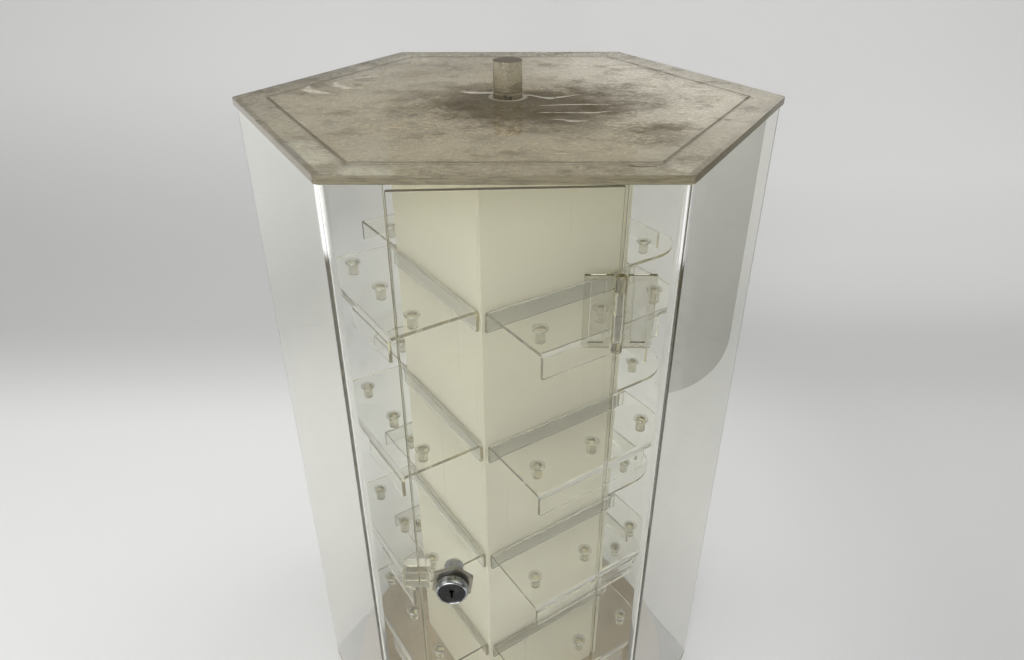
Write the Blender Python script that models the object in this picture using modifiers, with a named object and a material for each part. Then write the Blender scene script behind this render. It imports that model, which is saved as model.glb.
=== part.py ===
"""Rotating display case: a clear hexagonal case with a hinged, locking front door.

A square column of shelves stands inside it on a turntable and is turned by the rod knob on top.
All sizes are in metres. +Z is up, the door faces -Y, and the origin is the middle of the base's
underside, on the axis that the column turns about.
"""
from math import cos, pi, radians, sin, sqrt

import bmesh
import bpy
from mathutils import Matrix, Vector

# Clearance left between pieces that touch
GAP = 0.0003

# Edges that turn less than this are shaded smooth
SMOOTH_ANGLE = radians(40.0)

# Case: a hexagon 16 inches across its flats, with the front flat square to the door
PLATE_APOTHEM = 0.2032
WALL_APOTHEM = 0.2012
PLATE_THICKNESS = 0.006
WALL_THICKNESS = 0.0045
PLATE_CORNER_RADIUS = 0.006
BEND_RADIUS = 0.010
PLATE_TOP = 0.726
WALL_LOW = PLATE_THICKNESS + GAP
WALL_HIGH = PLATE_TOP - PLATE_THICKNESS - GAP
WALL_SEAM = 0.0003
LEFT_STRIP_END = -0.0758
RIGHT_STRIP_END = 0.0777
WALL_FRONT = -WALL_APOTHEM
WALL_BACK_FACE = WALL_FRONT + WALL_THICKNESS

# Door: the panel hangs a little low at its free side, so its top edge slopes
DOOR_LEFT = -0.0748
DOOR_RIGHT = 0.0757
DOOR_LOW = 0.0085
DOOR_TOP_LEFT = 0.7149
DOOR_TOP_RIGHT = 0.7181

# Moulded hinges, with the pin in front of the door's face
HINGE_X = 0.0767
HINGE_Y = WALL_FRONT - 0.0045
HINGE_CENTRES = {"upper": 0.6307, "lower": 0.0943}
LEAF_REACH = 0.0240
LEAF_SETBACK = 0.0048
LEAF_HALF_HEIGHT = 0.0278
LEAF_THICKNESS = 0.003
LEAF_RIM = 0.0042
LEAF_RECESS = 0.0012
KNUCKLE_RADIUS = 0.004
KNUCKLE_BORE = 0.0023
PIN_RADIUS = 0.002
PIN_HEAD_RADIUS = 0.0041
DOOR_KNUCKLE = (0.0, 0.0173)
CASE_KNUCKLE = (-0.0213, 0.0)
PIN_HEAD = (0.0176, 0.0286)
PIN_FOOT = (-0.0303, -0.0216)

# Cam lock, measured along its own axis from the door's front face; positive is towards the viewer
LOCK_X = -0.0475
LOCK_Z = 0.3583
LOCK_HEAD_RADIUS = 0.0143
LOCK_FACE_RADIUS = 0.0137
LOCK_HEAD_HEIGHT = 0.008
BARREL_RADIUS = 0.0092
BARREL_LENGTH = 0.024
BARREL_FLAT = 0.0082
BARREL_BORE = 0.0063
PLUG_FACE_RADIUS = 0.0115
PLUG_RADIUS = 0.006
PLUG_FACE_DEPTH = 0.002
PLUG_TAIL_RADIUS = 0.0035
PLUG_TAIL = 0.0026
KEYHOLE_DEPTH = 0.008
PANEL_HOLE_RADIUS = 0.0096
NUT_FLATS = 0.0340
NUT_TURN = radians(22.0)
NUT_THICKNESS = 0.0036
CAM_THICKNESS = 0.002
CAM_HUB_RADIUS = 0.008
CAM_LENGTH = 0.030
CAM_HALF_WIDTH = 0.0065

# Block behind the left strip, which stops the door and catches the cam
KEEPER_X = (-0.0905, -0.0675)
KEEPER_Y = (WALL_BACK_FACE + GAP, -0.180)
KEEPER_Z = (0.3534, 0.372)

# Turntable: a ball bearing between two square plates, and a round disc on it
BEARING_SIZE = 0.102
BEARING_SHEET = 0.0015
BEARING_CORNER_RADIUS = 0.009
BEARING_HEIGHT = 0.0097
BEARING_SCREW_OFFSET = 0.044
OUTER_RACE = (0.0425, 0.0440)
INNER_RACE = (0.0345, 0.0360)
RACE_HEIGHT = 0.0055
BALL_COUNT = 12
BALL_RADIUS = 0.0029
BALL_CIRCLE = 0.03925
CAGE_HALF_WIDTH = 0.0024
CAGE_THICKNESS = 0.0012
DISC_RADIUS = 0.1905
DISC_THICKNESS = 0.0127
SCREW_SHANK = 0.0015
SCREW_HOLE = 0.0022
SCREW_HEAD_RADIUS = 0.0036
SCREW_HEAD_HEIGHT = 0.0018
BASE_SCREW_DEPTH = 0.0042
LOWER_PLATE_LOW = PLATE_THICKNESS + GAP
UPPER_PLATE_LOW = LOWER_PLATE_LOW + BEARING_HEIGHT - BEARING_SHEET
DISC_LOW = LOWER_PLATE_LOW + BEARING_HEIGHT + GAP
DISC_HIGH = DISC_LOW + DISC_THICKNESS

# Column of four bonded panels, turned by hand to the angle that the case was left at
COLUMN_HALF = 0.0785
COLUMN_SHEET = 0.003
COLUMN_LOW = DISC_HIGH + GAP
COLUMN_HIGH = 0.715
COLUMN_TURN = radians(-56.0)
CAP_THICKNESS = 0.006
CAP_LOW = COLUMN_HIGH - CAP_THICKNESS

# Rod knob, 1 inch across, through the top plate
KNOB_RADIUS = 0.0125
KNOB_TOP = 0.756
KNOB_HOLE_RADIUS = 0.013
KNOB_SCREW_RADIUS = 0.0022
KNOB_SCREW_HOLE = 0.0027
KNOB_SCREW_DEPTH = 0.013

# Shelves: bent channels, one to a face at each of four levels 5.5 inches apart
TIER_TOP = PLATE_TOP - 0.1465
TIER_PITCH = 0.1397
TIER_COUNT = 4
SHELF_SHEET = 0.003
SHELF_INNER = COLUMN_HALF + GAP
SHELF_OUTER = 0.1613
SHELF_FLANGE = 0.020
SHELF_LIP = 0.022
SHELF_BEND = 0.005
ROUND_CORNER = 0.0447
LONG_ARC = 0.205
LONG_ARC_START = 0.007

# Clear studs in the shelves, with a flanged and dished head
STUD_LINE = 0.128
STUD_STEM_RADIUS = 0.0045
STUD_HOLE_RADIUS = 0.0039
STUD_HEAD_RADIUS = 0.007
STUD_HEAD_HEIGHT = 0.0012
STUD_LENGTH = 0.0145
STUD_DISH_RADIUS = 0.0033
STUD_DISH_DEPTH = 0.0018
STUD_SEGMENTS = 10

# Each face of the column in turn from the front right one, anticlockwise from above:
# name, shelf ends along the face, side that is rounded, its shape, and the studs' places
SHELF_FACES = (
    ("front_right", (-0.0755, 0.0855), 1, "corner", (-0.0545, 0.0065, 0.0665)),
    ("back_right", (-0.0785, 0.0755), -1, "corner", (-0.0465, 0.0075, 0.0615)),
    ("back_left", (-0.0755, 0.0785), -1, "corner", (-0.0540, 0.0040, 0.0600)),
    ("front_left", (-0.0865, 0.0752), -1, "long_arc", (-0.0685, -0.0090, 0.0515)),
)

COLOURS = {
    "clear_acrylic": ((0.86, 0.88, 0.85, 0.30), 0.08, 0.0),
    "dusty_acrylic": ((0.42, 0.38, 0.31, 0.85), 0.55, 0.0),
    "edge_acrylic": ((0.33, 0.29, 0.20, 0.80), 0.30, 0.0),
    "hinge_acrylic": ((0.74, 0.74, 0.68, 0.55), 0.12, 0.0),
    "cream_acrylic": ((0.80, 0.79, 0.66, 1.0), 0.18, 0.0),
    "brown_board": ((0.24, 0.19, 0.12, 1.0), 0.45, 0.0),
    "lock_chrome": ((0.60, 0.60, 0.58, 1.0), 0.14, 1.0),
    "lock_black": ((0.03, 0.03, 0.03, 1.0), 0.25, 0.6),
    "zinc_steel": ((0.56, 0.56, 0.55, 1.0), 0.35, 1.0),
}


def clear_scene():
    """Remove every object, so that the file holds the display case alone."""
    for thing in list(bpy.data.objects):
        bpy.data.objects.remove(thing, do_unlink=True)


def new_collection(name):
    """Add a collection to the scene."""
    collection = bpy.data.collections.new(name)
    bpy.context.scene.collection.children.link(collection)
    return collection


def finish(name):
    """Return a Principled material from the table of colours, made once."""
    if name in bpy.data.materials:
        return bpy.data.materials[name]
    colour, roughness, metallic = COLOURS[name]
    material = bpy.data.materials.new(name)
    material.use_nodes = True
    shader = material.node_tree.nodes["Principled BSDF"]
    shader.inputs["Base Color"].default_value = colour
    shader.inputs["Roughness"].default_value = roughness
    shader.inputs["Metallic"].default_value = metallic
    shader.inputs["Alpha"].default_value = colour[3]
    return material


def part(name, mesh, finish_name, parent=None, location=(0, 0, 0), turn=0.0):
    """Add a named piece of the display case, its round faces shaded smooth."""
    piece = bpy.data.objects.new(name, mesh)
    if not mesh.materials:
        mesh.materials.append(finish(finish_name))
        mesh.shade_smooth()
        mesh.set_sharp_from_angle(angle=SMOOTH_ANGLE)
    PARTS.objects.link(piece)
    piece.parent = parent
    piece.location = location
    piece.rotation_euler = (0, 0, turn)
    return piece


def pivot(name, location, turn=0.0):
    """Add an empty on a joint's axis, for the pieces that move with it."""
    empty = bpy.data.objects.new(name, None)
    empty.empty_display_size = 0.02
    empty.location = location
    empty.rotation_euler = (0, 0, turn)
    PARTS.objects.link(empty)
    return empty


def evaluated_mesh(source):
    """Return an object's finished mesh, welded and facing outwards, and remove the object."""
    bpy.context.view_layer.update()
    graph = bpy.context.evaluated_depsgraph_get()
    mesh = bpy.data.meshes.new_from_object(source.evaluated_get(graph))
    bpy.data.objects.remove(source, do_unlink=True)
    shape = bmesh.new()
    shape.from_mesh(mesh)
    bmesh.ops.remove_doubles(shape, verts=shape.verts, dist=0.000002)
    bmesh.ops.recalc_face_normals(shape, faces=shape.faces)
    shape.to_mesh(mesh)
    shape.free()
    mesh.materials.clear()
    return mesh


def prism(loops, low, high, upright=False):
    """Extrude flat loops, the first the outline and the others its holes, between two levels.

    The loops lie in XY and rise along Z, or in XZ and run along Y where upright is set.
    """
    curve = bpy.data.curves.new("outline", "CURVE")
    curve.dimensions = "2D"
    curve.fill_mode = "BOTH"
    curve.extrude = (high - low) / 2
    for loop in loops:
        spline = curve.splines.new("POLY")
        spline.points.add(len(loop) - 1)
        for point, (across, along) in zip(spline.points, loop):
            point.co = (across, along, 0, 1)
        spline.use_cyclic_u = True
    source = bpy.data.objects.new("outline", curve)
    CUTTERS.objects.link(source)
    mesh = evaluated_mesh(source)
    mesh.transform(Matrix.Translation((0, 0, (high + low) / 2)))
    if upright:
        mesh.transform(Matrix(((1, 0, 0, 0), (0, 0, 1, 0), (0, 1, 0, 0), (0, 0, 0, 1))))
        mesh.flip_normals()
    return mesh


def turned(profile, segments):
    """Turn a profile of radius and height about Z; it runs from the top down its outer side."""
    mesh = bpy.data.meshes.new("profile")
    points = [(radius, 0, height) for radius, height in profile]
    mesh.from_pydata(points, [(i, i + 1) for i in range(len(points) - 1)], [])
    source = bpy.data.objects.new("profile", mesh)
    CUTTERS.objects.link(source)
    screw = source.modifiers.new("turn", "SCREW")
    screw.axis = "Z"
    screw.steps = segments
    screw.render_steps = segments
    screw.use_merge_vertices = True
    screw.merge_threshold = 0.000001
    return evaluated_mesh(source)


def combined(mesh, *steps):
    """Cut meshes from a mesh or join them to it, each step a word and a mesh."""
    source = bpy.data.objects.new("combined", mesh)
    CUTTERS.objects.link(source)
    tools = []
    for operation, tool_mesh in steps:
        tool = bpy.data.objects.new("tool", tool_mesh)
        tool.hide_render = True
        tool.display_type = "WIRE"
        CUTTERS.objects.link(tool)
        tools.append(tool)
        boolean = source.modifiers.new(operation.lower(), "BOOLEAN")
        boolean.operation = operation
        boolean.solver = "EXACT"
        boolean.object = tool
    result = evaluated_mesh(source)
    for tool in tools:
        bpy.data.objects.remove(tool, do_unlink=True)
    return result


def joined(meshes):
    """Gather loose meshes into one, to cut or join them in one step."""
    shape = bmesh.new()
    for mesh in meshes:
        shape.from_mesh(mesh)
    gathered = bpy.data.meshes.new("gathered")
    shape.to_mesh(gathered)
    shape.free()
    return gathered


def moved(mesh, offset):
    """Return a copy of a mesh, moved."""
    copy = mesh.copy()
    copy.transform(Matrix.Translation(offset))
    return copy


def rectangle(x_range, y_range):
    """Corners of an upright rectangle."""
    (x_low, x_high), (y_low, y_high) = x_range, y_range
    return [(x_low, y_low), (x_high, y_low), (x_high, y_high), (x_low, y_high)]


def arc(centre, radius, start, end, steps):
    """Points on an arc, both ends included, with its angles in degrees."""
    angles = [radians(start + (end - start) * i / steps) for i in range(steps + 1)]
    return [(centre[0] + radius * cos(a), centre[1] + radius * sin(a)) for a in angles]


def circle(radius, segments, centre=(0, 0)):
    """Points round a full circle."""
    return arc(centre, radius, 0, 360, segments)[:-1]


def rounded(corners, radii, steps=4):
    """Round the corners of a closed outline; a radius of 0 leaves a corner sharp."""
    outline = []
    count = len(corners)
    for i, (corner, radius) in enumerate(zip(corners, radii)):
        here = Vector(corner)
        if radius == 0:
            outline.append(tuple(here))
            continue
        before = (Vector(corners[i - 1]) - here).normalized()
        after = (Vector(corners[(i + 1) % count]) - here).normalized()
        half_angle = before.angle(after) / 2
        reach = radius / sin(half_angle)
        middle = here + (before + after).normalized() * reach
        start = here + before * sqrt(reach ** 2 - radius ** 2) - middle
        sweep = start.angle_signed(here + after * sqrt(reach ** 2 - radius ** 2) - middle)
        for step in range(steps + 1):
            spoke = start.copy()
            spoke.rotate(Matrix.Rotation(-sweep * step / steps, 2))
            outline.append(tuple(middle + spoke))
    return outline


def hexagon(apothem):
    """Corners of a hexagon with flats to the front and back, from the right one anticlockwise."""
    reach = apothem * 2 / sqrt(3)
    return [(reach * cos(k * pi / 3), reach * sin(k * pi / 3)) for k in range(6)]


def square_places(offset):
    """The four corners of a square round the axis."""
    return [(offset, offset), (-offset, offset), (-offset, -offset), (offset, -offset)]


def cylinder(radius, low, high, segments, centre=(0, 0)):
    """A plain upright cylinder."""
    mesh = bpy.data.meshes.new("cylinder")
    shape = bmesh.new()
    place = Matrix.Translation((centre[0], centre[1], (low + high) / 2))
    bmesh.ops.create_cone(shape, cap_ends=True, segments=segments, radius1=radius, radius2=radius,
                          depth=high - low, matrix=place)
    shape.to_mesh(mesh)
    shape.free()
    return mesh


def tube(inner, outer, low, high, segments):
    """A ring with upright walls."""
    return prism([circle(outer, segments), circle(inner, segments)], low, high)


def wall_shell(side, strip_end):
    """Half of the case's wall: strip beside the door, two full sides and half of the back."""
    right_side = (5, 0, 1)
    left_side = (4, 3, 2)
    order = right_side if side > 0 else left_side
    outer = [hexagon(WALL_APOTHEM)[k] for k in order]
    inner_apothem = WALL_APOTHEM - WALL_THICKNESS
    inner = [hexagon(inner_apothem)[k] for k in order]
    seam = side * WALL_SEAM
    corners = [(strip_end, -WALL_APOTHEM), *outer, (seam, WALL_APOTHEM)]
    corners += [(seam, inner_apothem), *reversed(inner), (strip_end, -inner_apothem)]
    outer_bends = [0, BEND_RADIUS, BEND_RADIUS, BEND_RADIUS, 0]
    inner_bends = [0 if bend == 0 else bend - WALL_THICKNESS for bend in outer_bends]
    return prism([rounded(corners, outer_bends + inner_bends)], WALL_LOW, WALL_HIGH)


def make_case():
    """Base, two bent wall shells, top plate and the block that catches the lock's cam."""
    base = prism([rounded(hexagon(WALL_APOTHEM), [PLATE_CORNER_RADIUS] * 6)], 0, PLATE_THICKNESS)
    hole_low = PLATE_THICKNESS - BASE_SCREW_DEPTH
    holes = [cylinder(SCREW_SHANK + GAP, hole_low, PLATE_THICKNESS + 0.001, 8, place)
             for place in square_places(BEARING_SCREW_OFFSET)]
    part("base_plate", combined(base, ("DIFFERENCE", joined(holes))), "edge_acrylic")

    part("case_wall_left", wall_shell(-1, LEFT_STRIP_END), "clear_acrylic")
    part("case_wall_right", wall_shell(1, RIGHT_STRIP_END), "clear_acrylic")

    outline = rounded(hexagon(PLATE_APOTHEM), [PLATE_CORNER_RADIUS] * 6)
    top = prism([outline, circle(KNOB_HOLE_RADIUS, 32)], PLATE_TOP - PLATE_THICKNESS, PLATE_TOP)
    part("top_plate", top, "dusty_acrylic")

    keeper = prism([rounded(rectangle(KEEPER_X, KEEPER_Z), [0.0008] * 4, 2)], *KEEPER_Y, True)
    part("lock_keeper", keeper, "hinge_acrylic")


def hinge_leaf(side, knuckle):
    """A moulded leaf: a recessed plate with a tab to its knuckle, which is bored for the pin."""
    low, high = knuckle
    edge = LEAF_SETBACK
    corners = [(LEAF_REACH, -LEAF_HALF_HEIGHT), (LEAF_REACH, LEAF_HALF_HEIGHT),
               (edge, LEAF_HALF_HEIGHT), (edge, high), (0.0008, high), (0.0008, low),
               (edge, low), (edge, -LEAF_HALF_HEIGHT)]
    seat = WALL_FRONT - HINGE_Y - GAP
    front = seat - LEAF_THICKNESS
    plate = prism([[(side * x, z) for x, z in corners]], front, seat, True)
    window = rectangle((edge + LEAF_RIM, LEAF_REACH - LEAF_RIM),
                       (-LEAF_HALF_HEIGHT + LEAF_RIM, LEAF_HALF_HEIGHT - LEAF_RIM))
    recess = prism([[(side * x, z) for x, z in window]], front - 0.001, front + LEAF_RECESS, True)
    barrel = cylinder(KNUCKLE_RADIUS, low, high, 16)
    bore = cylinder(KNUCKLE_BORE, low - 0.001, high + 0.001, 16)
    return combined(plate, ("DIFFERENCE", recess), ("UNION", barrel), ("DIFFERENCE", bore))


def hinge_pin():
    """A pin with a long head above the knuckles and a short foot below them."""
    head_low, head_high = PIN_HEAD
    foot_low, foot_high = PIN_FOOT
    ease = 0.0008
    profile = [(0, head_high), (PIN_HEAD_RADIUS - ease, head_high),
               (PIN_HEAD_RADIUS, head_high - ease), (PIN_HEAD_RADIUS, head_low),
               (PIN_RADIUS, head_low), (PIN_RADIUS, foot_high), (KNUCKLE_RADIUS, foot_high),
               (KNUCKLE_RADIUS, foot_low + ease), (KNUCKLE_RADIUS - ease, foot_low), (0, foot_low)]
    return turned(profile, 16)


def make_hinges(door):
    """Both hinges: one leaf and the pin on the case, the other leaf on the door."""
    door_leaf = hinge_leaf(-1, DOOR_KNUCKLE)
    case_leaf = hinge_leaf(1, (CASE_KNUCKLE[0], CASE_KNUCKLE[1] - GAP))
    pin = hinge_pin()
    for level, height in HINGE_CENTRES.items():
        axis = (HINGE_X, HINGE_Y, height)
        part(f"{level}_hinge_case_leaf", case_leaf, "hinge_acrylic", location=axis)
        part(f"{level}_hinge_pin", pin, "hinge_acrylic", location=axis)
        part(f"{level}_hinge_door_leaf", door_leaf, "hinge_acrylic", door, (0, 0, height))


def make_door():
    """Door panel on its hinge axis, with the hole for the lock. Returns the axis empty."""
    door = pivot("door_axis", (HINGE_X, HINGE_Y, 0))
    corners = [(DOOR_LEFT, DOOR_LOW), (DOOR_RIGHT, DOOR_LOW),
               (DOOR_RIGHT, DOOR_TOP_RIGHT), (DOOR_LEFT, DOOR_TOP_LEFT)]
    hole = circle(PANEL_HOLE_RADIUS, 24, (LOCK_X, LOCK_Z))
    panel = prism([corners, hole], WALL_FRONT, WALL_BACK_FACE, True)
    panel.transform(Matrix.Translation((-HINGE_X, -HINGE_Y, 0)))
    part("door_panel", panel, "clear_acrylic", door)
    return door


def facing_front(mesh):
    """Lay a piece that was made upright along the lock's axis, its top towards the viewer."""
    mesh.transform(Matrix.Rotation(pi / 2, 4, "X"))
    return mesh


def make_lock(door):
    """Cam lock: fixed body and nut on the door, and the plug, cam and screw that turn in it."""
    axis = (LOCK_X - HINGE_X, WALL_FRONT - HINGE_Y, LOCK_Z)
    tail = -BARREL_LENGTH
    face_depth = LOCK_HEAD_HEIGHT - PLUG_FACE_DEPTH
    body = turned([(BARREL_BORE, face_depth), (PLUG_FACE_RADIUS + GAP, face_depth),
                   (PLUG_FACE_RADIUS + GAP, LOCK_HEAD_HEIGHT),
                   (LOCK_FACE_RADIUS - 0.0010, LOCK_HEAD_HEIGHT),
                   (LOCK_FACE_RADIUS, LOCK_HEAD_HEIGHT - 0.0010),
                   (LOCK_HEAD_RADIUS - 0.0001, 0.0045), (LOCK_HEAD_RADIUS, 0.0030),
                   (LOCK_HEAD_RADIUS, GAP), (BARREL_RADIUS, GAP),
                   (BARREL_RADIUS, tail + 0.0006), (BARREL_RADIUS - 0.0006, tail),
                   (BARREL_BORE, tail), (BARREL_BORE, face_depth)], 24)
    far = BARREL_RADIUS + 0.002
    flats = [prism([rectangle((side * BARREL_FLAT, side * far), (-far, far))],
                   tail - 0.001, -WALL_THICKNESS - GAP) for side in (-1, 1)]
    body = combined(body, ("DIFFERENCE", joined(flats)))
    part("lock_body", facing_front(body), "lock_chrome", door, axis)

    nut_high = -WALL_THICKNESS - GAP
    nut_shape = [hexagon(NUT_FLATS / 2), circle(BARREL_RADIUS + GAP, 24)]
    nut = prism(nut_shape, nut_high - NUT_THICKNESS, nut_high)
    nut.transform(Matrix.Rotation(NUT_TURN, 4, "Z"))
    part("lock_nut", facing_front(nut), "zinc_steel", door, axis)

    plug_tail = tail - PLUG_TAIL
    shoulder = tail + GAP
    cam_low = tail - GAP - CAM_THICKNESS
    plug = turned([(0, LOCK_HEAD_HEIGHT), (PLUG_FACE_RADIUS, LOCK_HEAD_HEIGHT),
                   (PLUG_FACE_RADIUS, face_depth + GAP), (PLUG_RADIUS, face_depth + GAP),
                   (PLUG_RADIUS, shoulder), (PLUG_TAIL_RADIUS, shoulder),
                   (PLUG_TAIL_RADIUS, plug_tail), (SCREW_SHANK + GAP, plug_tail),
                   (SCREW_SHANK + GAP, shoulder), (0, shoulder)], 20)
    blade = rectangle((-0.0009, 0.0009), (-0.0048, 0.0034))
    keyhole = prism([blade], LOCK_HEAD_HEIGHT - KEYHOLE_DEPTH, LOCK_HEAD_HEIGHT + 0.001)
    keyhole_eye = cylinder(0.0021, LOCK_HEAD_HEIGHT - KEYHOLE_DEPTH, LOCK_HEAD_HEIGHT + 0.001, 12,
                           (0, 0.0026))
    plug = combined(plug, ("DIFFERENCE", keyhole), ("DIFFERENCE", keyhole_eye))
    part("lock_plug", facing_front(plug), "lock_black", door, axis)

    hub = arc((0, 0), CAM_HUB_RADIUS, 0, 180, 10)
    toe = rounded([(-CAM_HALF_WIDTH, -CAM_LENGTH), (CAM_HALF_WIDTH, -CAM_LENGTH), (0, 0)],
                  [0.003, 0.003, 0], 4)[:-1]
    cam = prism([hub + toe, circle(PLUG_TAIL_RADIUS + GAP, 16)], cam_low, tail - GAP)
    part("lock_cam", facing_front(cam), "zinc_steel", door, axis)

    seat = plug_tail - GAP
    screw = turned([(0, shoulder - 2 * GAP), (SCREW_SHANK, shoulder - 2 * GAP), (SCREW_SHANK, seat),
                    (0.0052, seat), (0.0052, seat - 0.0008), (0.0040, seat - 0.0018),
                    (0, seat - 0.0018)], 16)
    part("lock_cam_screw", facing_front(screw), "zinc_steel", door, axis)


def pan_screw(shank_low):
    """A pan-head screw; its head sits on the plane at height 0."""
    return turned([(0, SCREW_HEAD_HEIGHT), (SCREW_HEAD_RADIUS - 0.0008, SCREW_HEAD_HEIGHT),
                   (SCREW_HEAD_RADIUS, SCREW_HEAD_HEIGHT - 0.0008), (SCREW_HEAD_RADIUS, 0),
                   (SCREW_SHANK, 0), (SCREW_SHANK, shank_low + 0.0006),
                   (SCREW_SHANK - 0.0006, shank_low), (0, shank_low)], 10)


def flat_screw(length):
    """A countersunk screw with its head's top at height 0."""
    return turned([(0, 0), (SCREW_HEAD_RADIUS, 0), (SCREW_HEAD_RADIUS, -0.0003),
                   (SCREW_SHANK, -0.0024), (SCREW_SHANK, 0.0006 - length),
                   (SCREW_SHANK - 0.0006, -length), (0, -length)], 10)


def bearing_plate(low, race, race_low, race_high):
    """A square bearing plate with a round race wall joined to it."""
    half = BEARING_SIZE / 2
    outline = rounded(rectangle((-half, half), (-half, half)), [BEARING_CORNER_RADIUS] * 4, 4)
    holes = [circle(SCREW_HOLE, 10, place) for place in square_places(BEARING_SCREW_OFFSET)]
    sheet = prism([outline, *holes], low, low + BEARING_SHEET)
    return combined(sheet, ("UNION", tube(*race, race_low, race_high, 32)))


def ball_ring():
    """The cage ring with its balls held in it, centred on height 0."""
    ring = tube(BALL_CIRCLE - CAGE_HALF_WIDTH, BALL_CIRCLE + CAGE_HALF_WIDTH,
                -CAGE_THICKNESS / 2, CAGE_THICKNESS / 2, 36)
    shape = bmesh.new()
    for k in range(BALL_COUNT):
        angle = 2 * pi * (k + 0.37) / BALL_COUNT
        place = Matrix.Translation((BALL_CIRCLE * cos(angle), BALL_CIRCLE * sin(angle), 0))
        bmesh.ops.create_icosphere(shape, subdivisions=1, radius=BALL_RADIUS, matrix=place)
    balls = bpy.data.meshes.new("balls")
    shape.to_mesh(balls)
    shape.free()
    return combined(ring, ("UNION", balls))


def make_turntable(carousel):
    """Ball bearing screwed to the base, and the round disc that it carries."""
    mid_sheet = LOWER_PLATE_LOW + BEARING_SHEET / 2
    lower = bearing_plate(LOWER_PLATE_LOW, OUTER_RACE, mid_sheet,
                          LOWER_PLATE_LOW + BEARING_SHEET + RACE_HEIGHT)
    part("bearing_lower_plate", lower, "zinc_steel")
    seat = LOWER_PLATE_LOW + BEARING_SHEET + GAP
    base_screw = pan_screw(PLATE_THICKNESS - BASE_SCREW_DEPTH + GAP - seat)
    for number, (x, y) in enumerate(square_places(BEARING_SCREW_OFFSET), 1):
        part(f"base_screw_{number}", base_screw, "zinc_steel", location=(x, y, seat))

    ball_height = (LOWER_PLATE_LOW + BEARING_SHEET + UPPER_PLATE_LOW) / 2
    cage = pivot("ball_ring_axis", (0, 0, ball_height))
    part("bearing_ball_ring", ball_ring(), "zinc_steel", cage)

    upper = bearing_plate(UPPER_PLATE_LOW, INNER_RACE, UPPER_PLATE_LOW - RACE_HEIGHT,
                          UPPER_PLATE_LOW + BEARING_SHEET / 2)
    part("bearing_upper_plate", upper, "zinc_steel", carousel)

    disc = prism([circle(DISC_RADIUS, 64)], DISC_LOW, DISC_HIGH)
    sink = [(0, 0.001), (SCREW_HEAD_RADIUS + 0.0005, 0.001), (SCREW_HEAD_RADIUS + 0.0005, -0.0006),
            (SCREW_HOLE, -0.0028), (SCREW_HOLE, -DISC_THICKNESS - 0.001),
            (0, -DISC_THICKNESS - 0.001)]
    sink_mesh = turned(sink, 10)
    sinks = [moved(sink_mesh, (x, y, DISC_HIGH)) for x, y in square_places(BEARING_SCREW_OFFSET)]
    part("turntable_disc", combined(disc, ("DIFFERENCE", joined(sinks))), "brown_board", carousel)
    disc_screw = flat_screw(DISC_THICKNESS + BEARING_SHEET + 0.0012)
    for number, (x, y) in enumerate(square_places(BEARING_SCREW_OFFSET), 1):
        part(f"disc_screw_{number}", disc_screw, "zinc_steel", carousel, (x, y, DISC_HIGH - 0.0002))


def make_column(carousel):
    """Four panels butted round the axis, the cap inside their top, and the rod knob on it."""
    panel_end = COLUMN_HALF - COLUMN_SHEET - GAP
    outline = rectangle((COLUMN_HALF - COLUMN_SHEET, COLUMN_HALF), (-COLUMN_HALF, panel_end))
    panel = prism([outline], COLUMN_LOW, COLUMN_HIGH)
    for turn, face in enumerate(SHELF_FACES):
        part(f"column_panel_{face[0]}", panel, "cream_acrylic", carousel, turn=turn * pi / 2)

    cap = prism([rectangle((-panel_end, panel_end), (-panel_end, panel_end)),
                 circle(KNOB_SCREW_HOLE, 12)], CAP_LOW, COLUMN_HIGH)
    part("column_cap", cap, "brown_board", carousel)

    knob_low = COLUMN_HIGH + GAP
    ease = 0.0006
    knob = turned([(0, KNOB_TOP), (KNOB_RADIUS - ease, KNOB_TOP), (KNOB_RADIUS, KNOB_TOP - ease),
                   (KNOB_RADIUS, knob_low), (KNOB_SCREW_HOLE, knob_low),
                   (KNOB_SCREW_HOLE, knob_low + KNOB_SCREW_DEPTH),
                   (0, knob_low + KNOB_SCREW_DEPTH)], 32)
    part("turning_knob", knob, "clear_acrylic", carousel)

    shank_high = knob_low + KNOB_SCREW_DEPTH - 0.001
    head_high = CAP_LOW - GAP
    screw = turned([(0, shank_high), (KNOB_SCREW_RADIUS, shank_high),
                    (KNOB_SCREW_RADIUS, head_high), (0.0045, head_high),
                    (0.0045, head_high - 0.0016), (0.0036, head_high - 0.0024),
                    (0, head_high - 0.0024)], 14)
    part("knob_screw", screw, "zinc_steel", carousel)


def shelf_profile():
    """Section of a shelf, outwards and up: flange down the column, flat top and lip."""
    inner_bend = SHELF_BEND - SHELF_SHEET
    corners = [(SHELF_INNER, -SHELF_FLANGE), (SHELF_INNER + SHELF_SHEET, -SHELF_FLANGE),
               (SHELF_INNER + SHELF_SHEET, -SHELF_SHEET), (SHELF_OUTER - SHELF_SHEET, -SHELF_SHEET),
               (SHELF_OUTER - SHELF_SHEET, -SHELF_LIP), (SHELF_OUTER, -SHELF_LIP),
               (SHELF_OUTER, 0), (SHELF_INNER, 0)]
    return rounded(corners, [0, 0, inner_bend, inner_bend, 0, 0, SHELF_BEND, SHELF_BEND], 3)


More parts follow.
